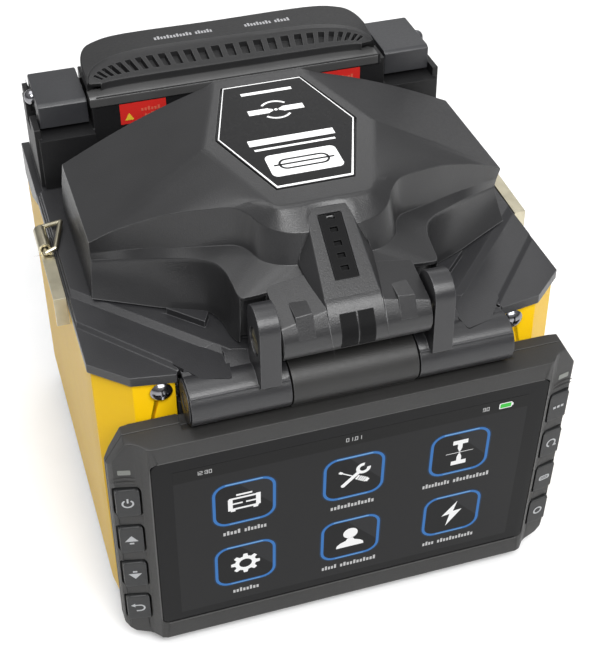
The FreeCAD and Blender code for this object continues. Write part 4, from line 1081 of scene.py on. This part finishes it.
def lid_rows():
    """Closed sections of the lid, each from its back edge over the crest, down the band and under."""
    stops = [(u, False) for u in (0, 0.02, 0.045)]
    for i in range(LID_SLOTS):
        middle = 0.06 + 0.88 * (i + 0.5) / LID_SLOTS
        half = 0.44 / LID_SLOTS * SLOT_SHARE
        stops += [(middle - half - 0.0006, False), (middle - half, True), (middle + half, True),
                  (middle + half + 0.0006, False)]
    stops += [(u, False) for u in (0.955, 0.98, 1)]
    rows = []
    for u, in_slot in stops:
        station = along(LID_STATIONS, u)
        ax, ay, az = station[:3]
        bx, by = station[5:]
        inward = Vector((ax - bx, ay - by, 0)).normalized() * 0.8
        row = [(bx, by, LID_FOOT), (bx, by, az - 1), (bx + inward.x * 0.3, by + inward.y * 0.3, az - 0.3),
               (bx + inward.x, by + inward.y, az)]
        row += [lid_band(station, v, SLOT_DEPTH if in_slot and v in SLOT_BAND else 0) for v in LID_BAND]
        x, y, z = row[-1]
        row += [(x, y - 0.35, z - 0.25), (x, y - 0.5, z - 0.8), (x, y - 0.5, LID_FOOT),
                (x, y + 3, LID_FOOT)]
        rows.append(row)
    return rows


KNUCKLE_LENGTH = 10
KNUCKLE_AXIS = (144.9, 130.7)
KNUCKLE_ARM = [(143.2, 130.7), (146.6, 130.7), (146.6, 135), (143.2, 135)]


def on_lid(x, y, out):
    return (x, y, LID_TOP + out)


def build_heater_lid():
    """Oven lid: flat top, crest, and a curved band of cooling slots on the sloping front."""
    rows = lid_rows()
    form = Form().grid([row + row[:1] for row in rows]).face(*rows[0]).face(*rows[-1])
    piece("heater_lid_shell", form, "heater_lid", "lid_plastic", replaces=["heater_lid"])
    knuckles = Form()
    for x0 in (-38, 28):
        x1 = x0 + KNUCKLE_LENGTH
        rings = [circle(x, KNUCKLE_AXIS, radius, 20)
                 for x, radius in ((x0, 1.7), (x0 + 0.2, 1.9), (x1 - 0.2, 1.9), (x1, 1.7))]
        knuckles.grid(rings, wrap=True).face(*rings[0]).face(*rings[-1]).across(KNUCKLE_ARM, x0, x1)
    piece("heater_lid_knuckles", knuckles, "heater_lid", "lid_plastic")
    words = caption(-14, 138.6, (13, 6), 1.7) + caption(15, 138.6, (9.5, 5.5), 1.7)
    decal("heater_lid_marks", words, "lid_print", 0.01, 0.03, on_lid, "heater_lid", "lid_plastic")


LEDGE = [(122, 130.7), (116.45, 130.7), (116.45, 133.6), (117.1, 134.3), (122, 134.3)]
LABEL_X, LABEL_Y = 33, 116.62


def on_label(x, z, out):
    return (x, LABEL_Y - out, z)


def build_oven_front():
    """Pale ledge under the lid's front edge, and bars on the red labels."""
    line = rounded(LEDGE, [0, 0.3, 0.4, 0.4, 0])
    piece("oven_ledge", Form().across(line, -50, 47), "chassis", "oven_plastic", material="ledge_plastic")
    for side, label in SIDES:
        x = side * LABEL_X
        mark = [[(x - 6.4, 124.3), (x - 3.4, 124.3), (x - 4.9, 126.9)]]
        bars = caption(x + 2.2, 127.4, (6.5,), 1) + caption(x + 2.2, 125, (4.5,), 1.4)
        where = (0.02, 0.03, on_label, "chassis", "label_red")
        decal("heater_label_mark_" + label, mark, "label_yellow", *where)
        decal("heater_label_bars_" + label, bars, "label_print", *where)


# ---- deck ----
STEP = [(32.9, 14.6), (34.5, 5.1), (35.1, 4.8), (42.4, 6.6), (47, 13.2), (48.4, 15), (49, 25),
        (46, 25), (38.5, 19.8)]
UPPER_FOOT = [(27.9, 14), (33.6, 13.9), (40.4, 20.9), (27.9, 20.9)]
UPPER_TOP = [(27.9, 14.1), (32.1, 15.3), (37.2, 20.9), (27.9, 20.9)]
CHEEK = [(112, 104.8), (146.3, 104.8), (146.3, 92.6), (130, 92.6), (112, 101)]
CHEEK_X = (68.5, 71.3)


def build_deck_tongues():
    """Both deck steps carried forward beside the hinge bar, and a dark cheek behind each yellow panel."""
    for side, label in SIDES:
        for name, foot, foot_z, top, top_z in (("deck_tongue_", STEP, 103.6, STEP, 106.11),
                                               ("deck_tongue_top_", UPPER_FOOT, 106, UPPER_TOP, 107.21)):
            low, high = [(side * x, y, foot_z) for x, y in foot], [(side * x, y, top_z) for x, y in top]
            piece(name + label, Form().prism(low, high), "chassis", "deck_plastic", material="deck_plain")
        cheek = Form().across(CHEEK, side * CHEEK_X[0], side * CHEEK_X[1])
        piece("rear_cheek_" + label, cheek, "chassis", "deck_plastic", bevel=0.3)


# ---- the frame's own nodes ----
NODE_MATERIALS = {"hinge_pins": "nickel", "clamp_screw_left": "dark_chrome",
                  "clamp_screw_right": "dark_chrome"}
ROUND_NODES = ("strap_ring_left", "strap_ring_right", "clamp_screw_left", "clamp_screw_right", "panel_screws",
               "hinge_pins", "heater_lid_pin", "electrodes", "objective_lenses", "hood_lamp", "feed_motors",
               "heater_labels", "fan_rotor", "rear_ports", "vgroove_blocks", "battery_contacts", "lcd_panel")
NODE_BEVELS = {**dict.fromkeys(ROUND_NODES, 0.0), "strap_brackets": 0.12, "badge_plate": 0.15,
               "cover_glass": 0.2, "sheath_clamp_left": 0.1, "sheath_clamp_right": 0.1,
               "monitor_bezel": 0.45, "end_clamp_left": 0.5, "end_clamp_right": 0.5}


def dress_nodes():
    """Every node of the frame gets its own material and softened edges."""
    for name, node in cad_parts.items():
        slot = node.data.materials[0].name.split(".")[0]
        node.data.materials.clear()
        node.data.materials.append(MATERIALS[NODE_MATERIALS.get(name, slot)])
        soften(node, NODE_BEVELS.get(name, 0.3), weld=True)


make_materials()
add_camera()
add_studio()
add_floor()
dress_nodes()
build_hood()
build_spine()
build_strip()
build_arms()
build_barrel()
build_badge()
build_screen()
build_key_prints()
build_status_lights()
build_heater_lid()
build_oven_front()
build_deck_tongues()
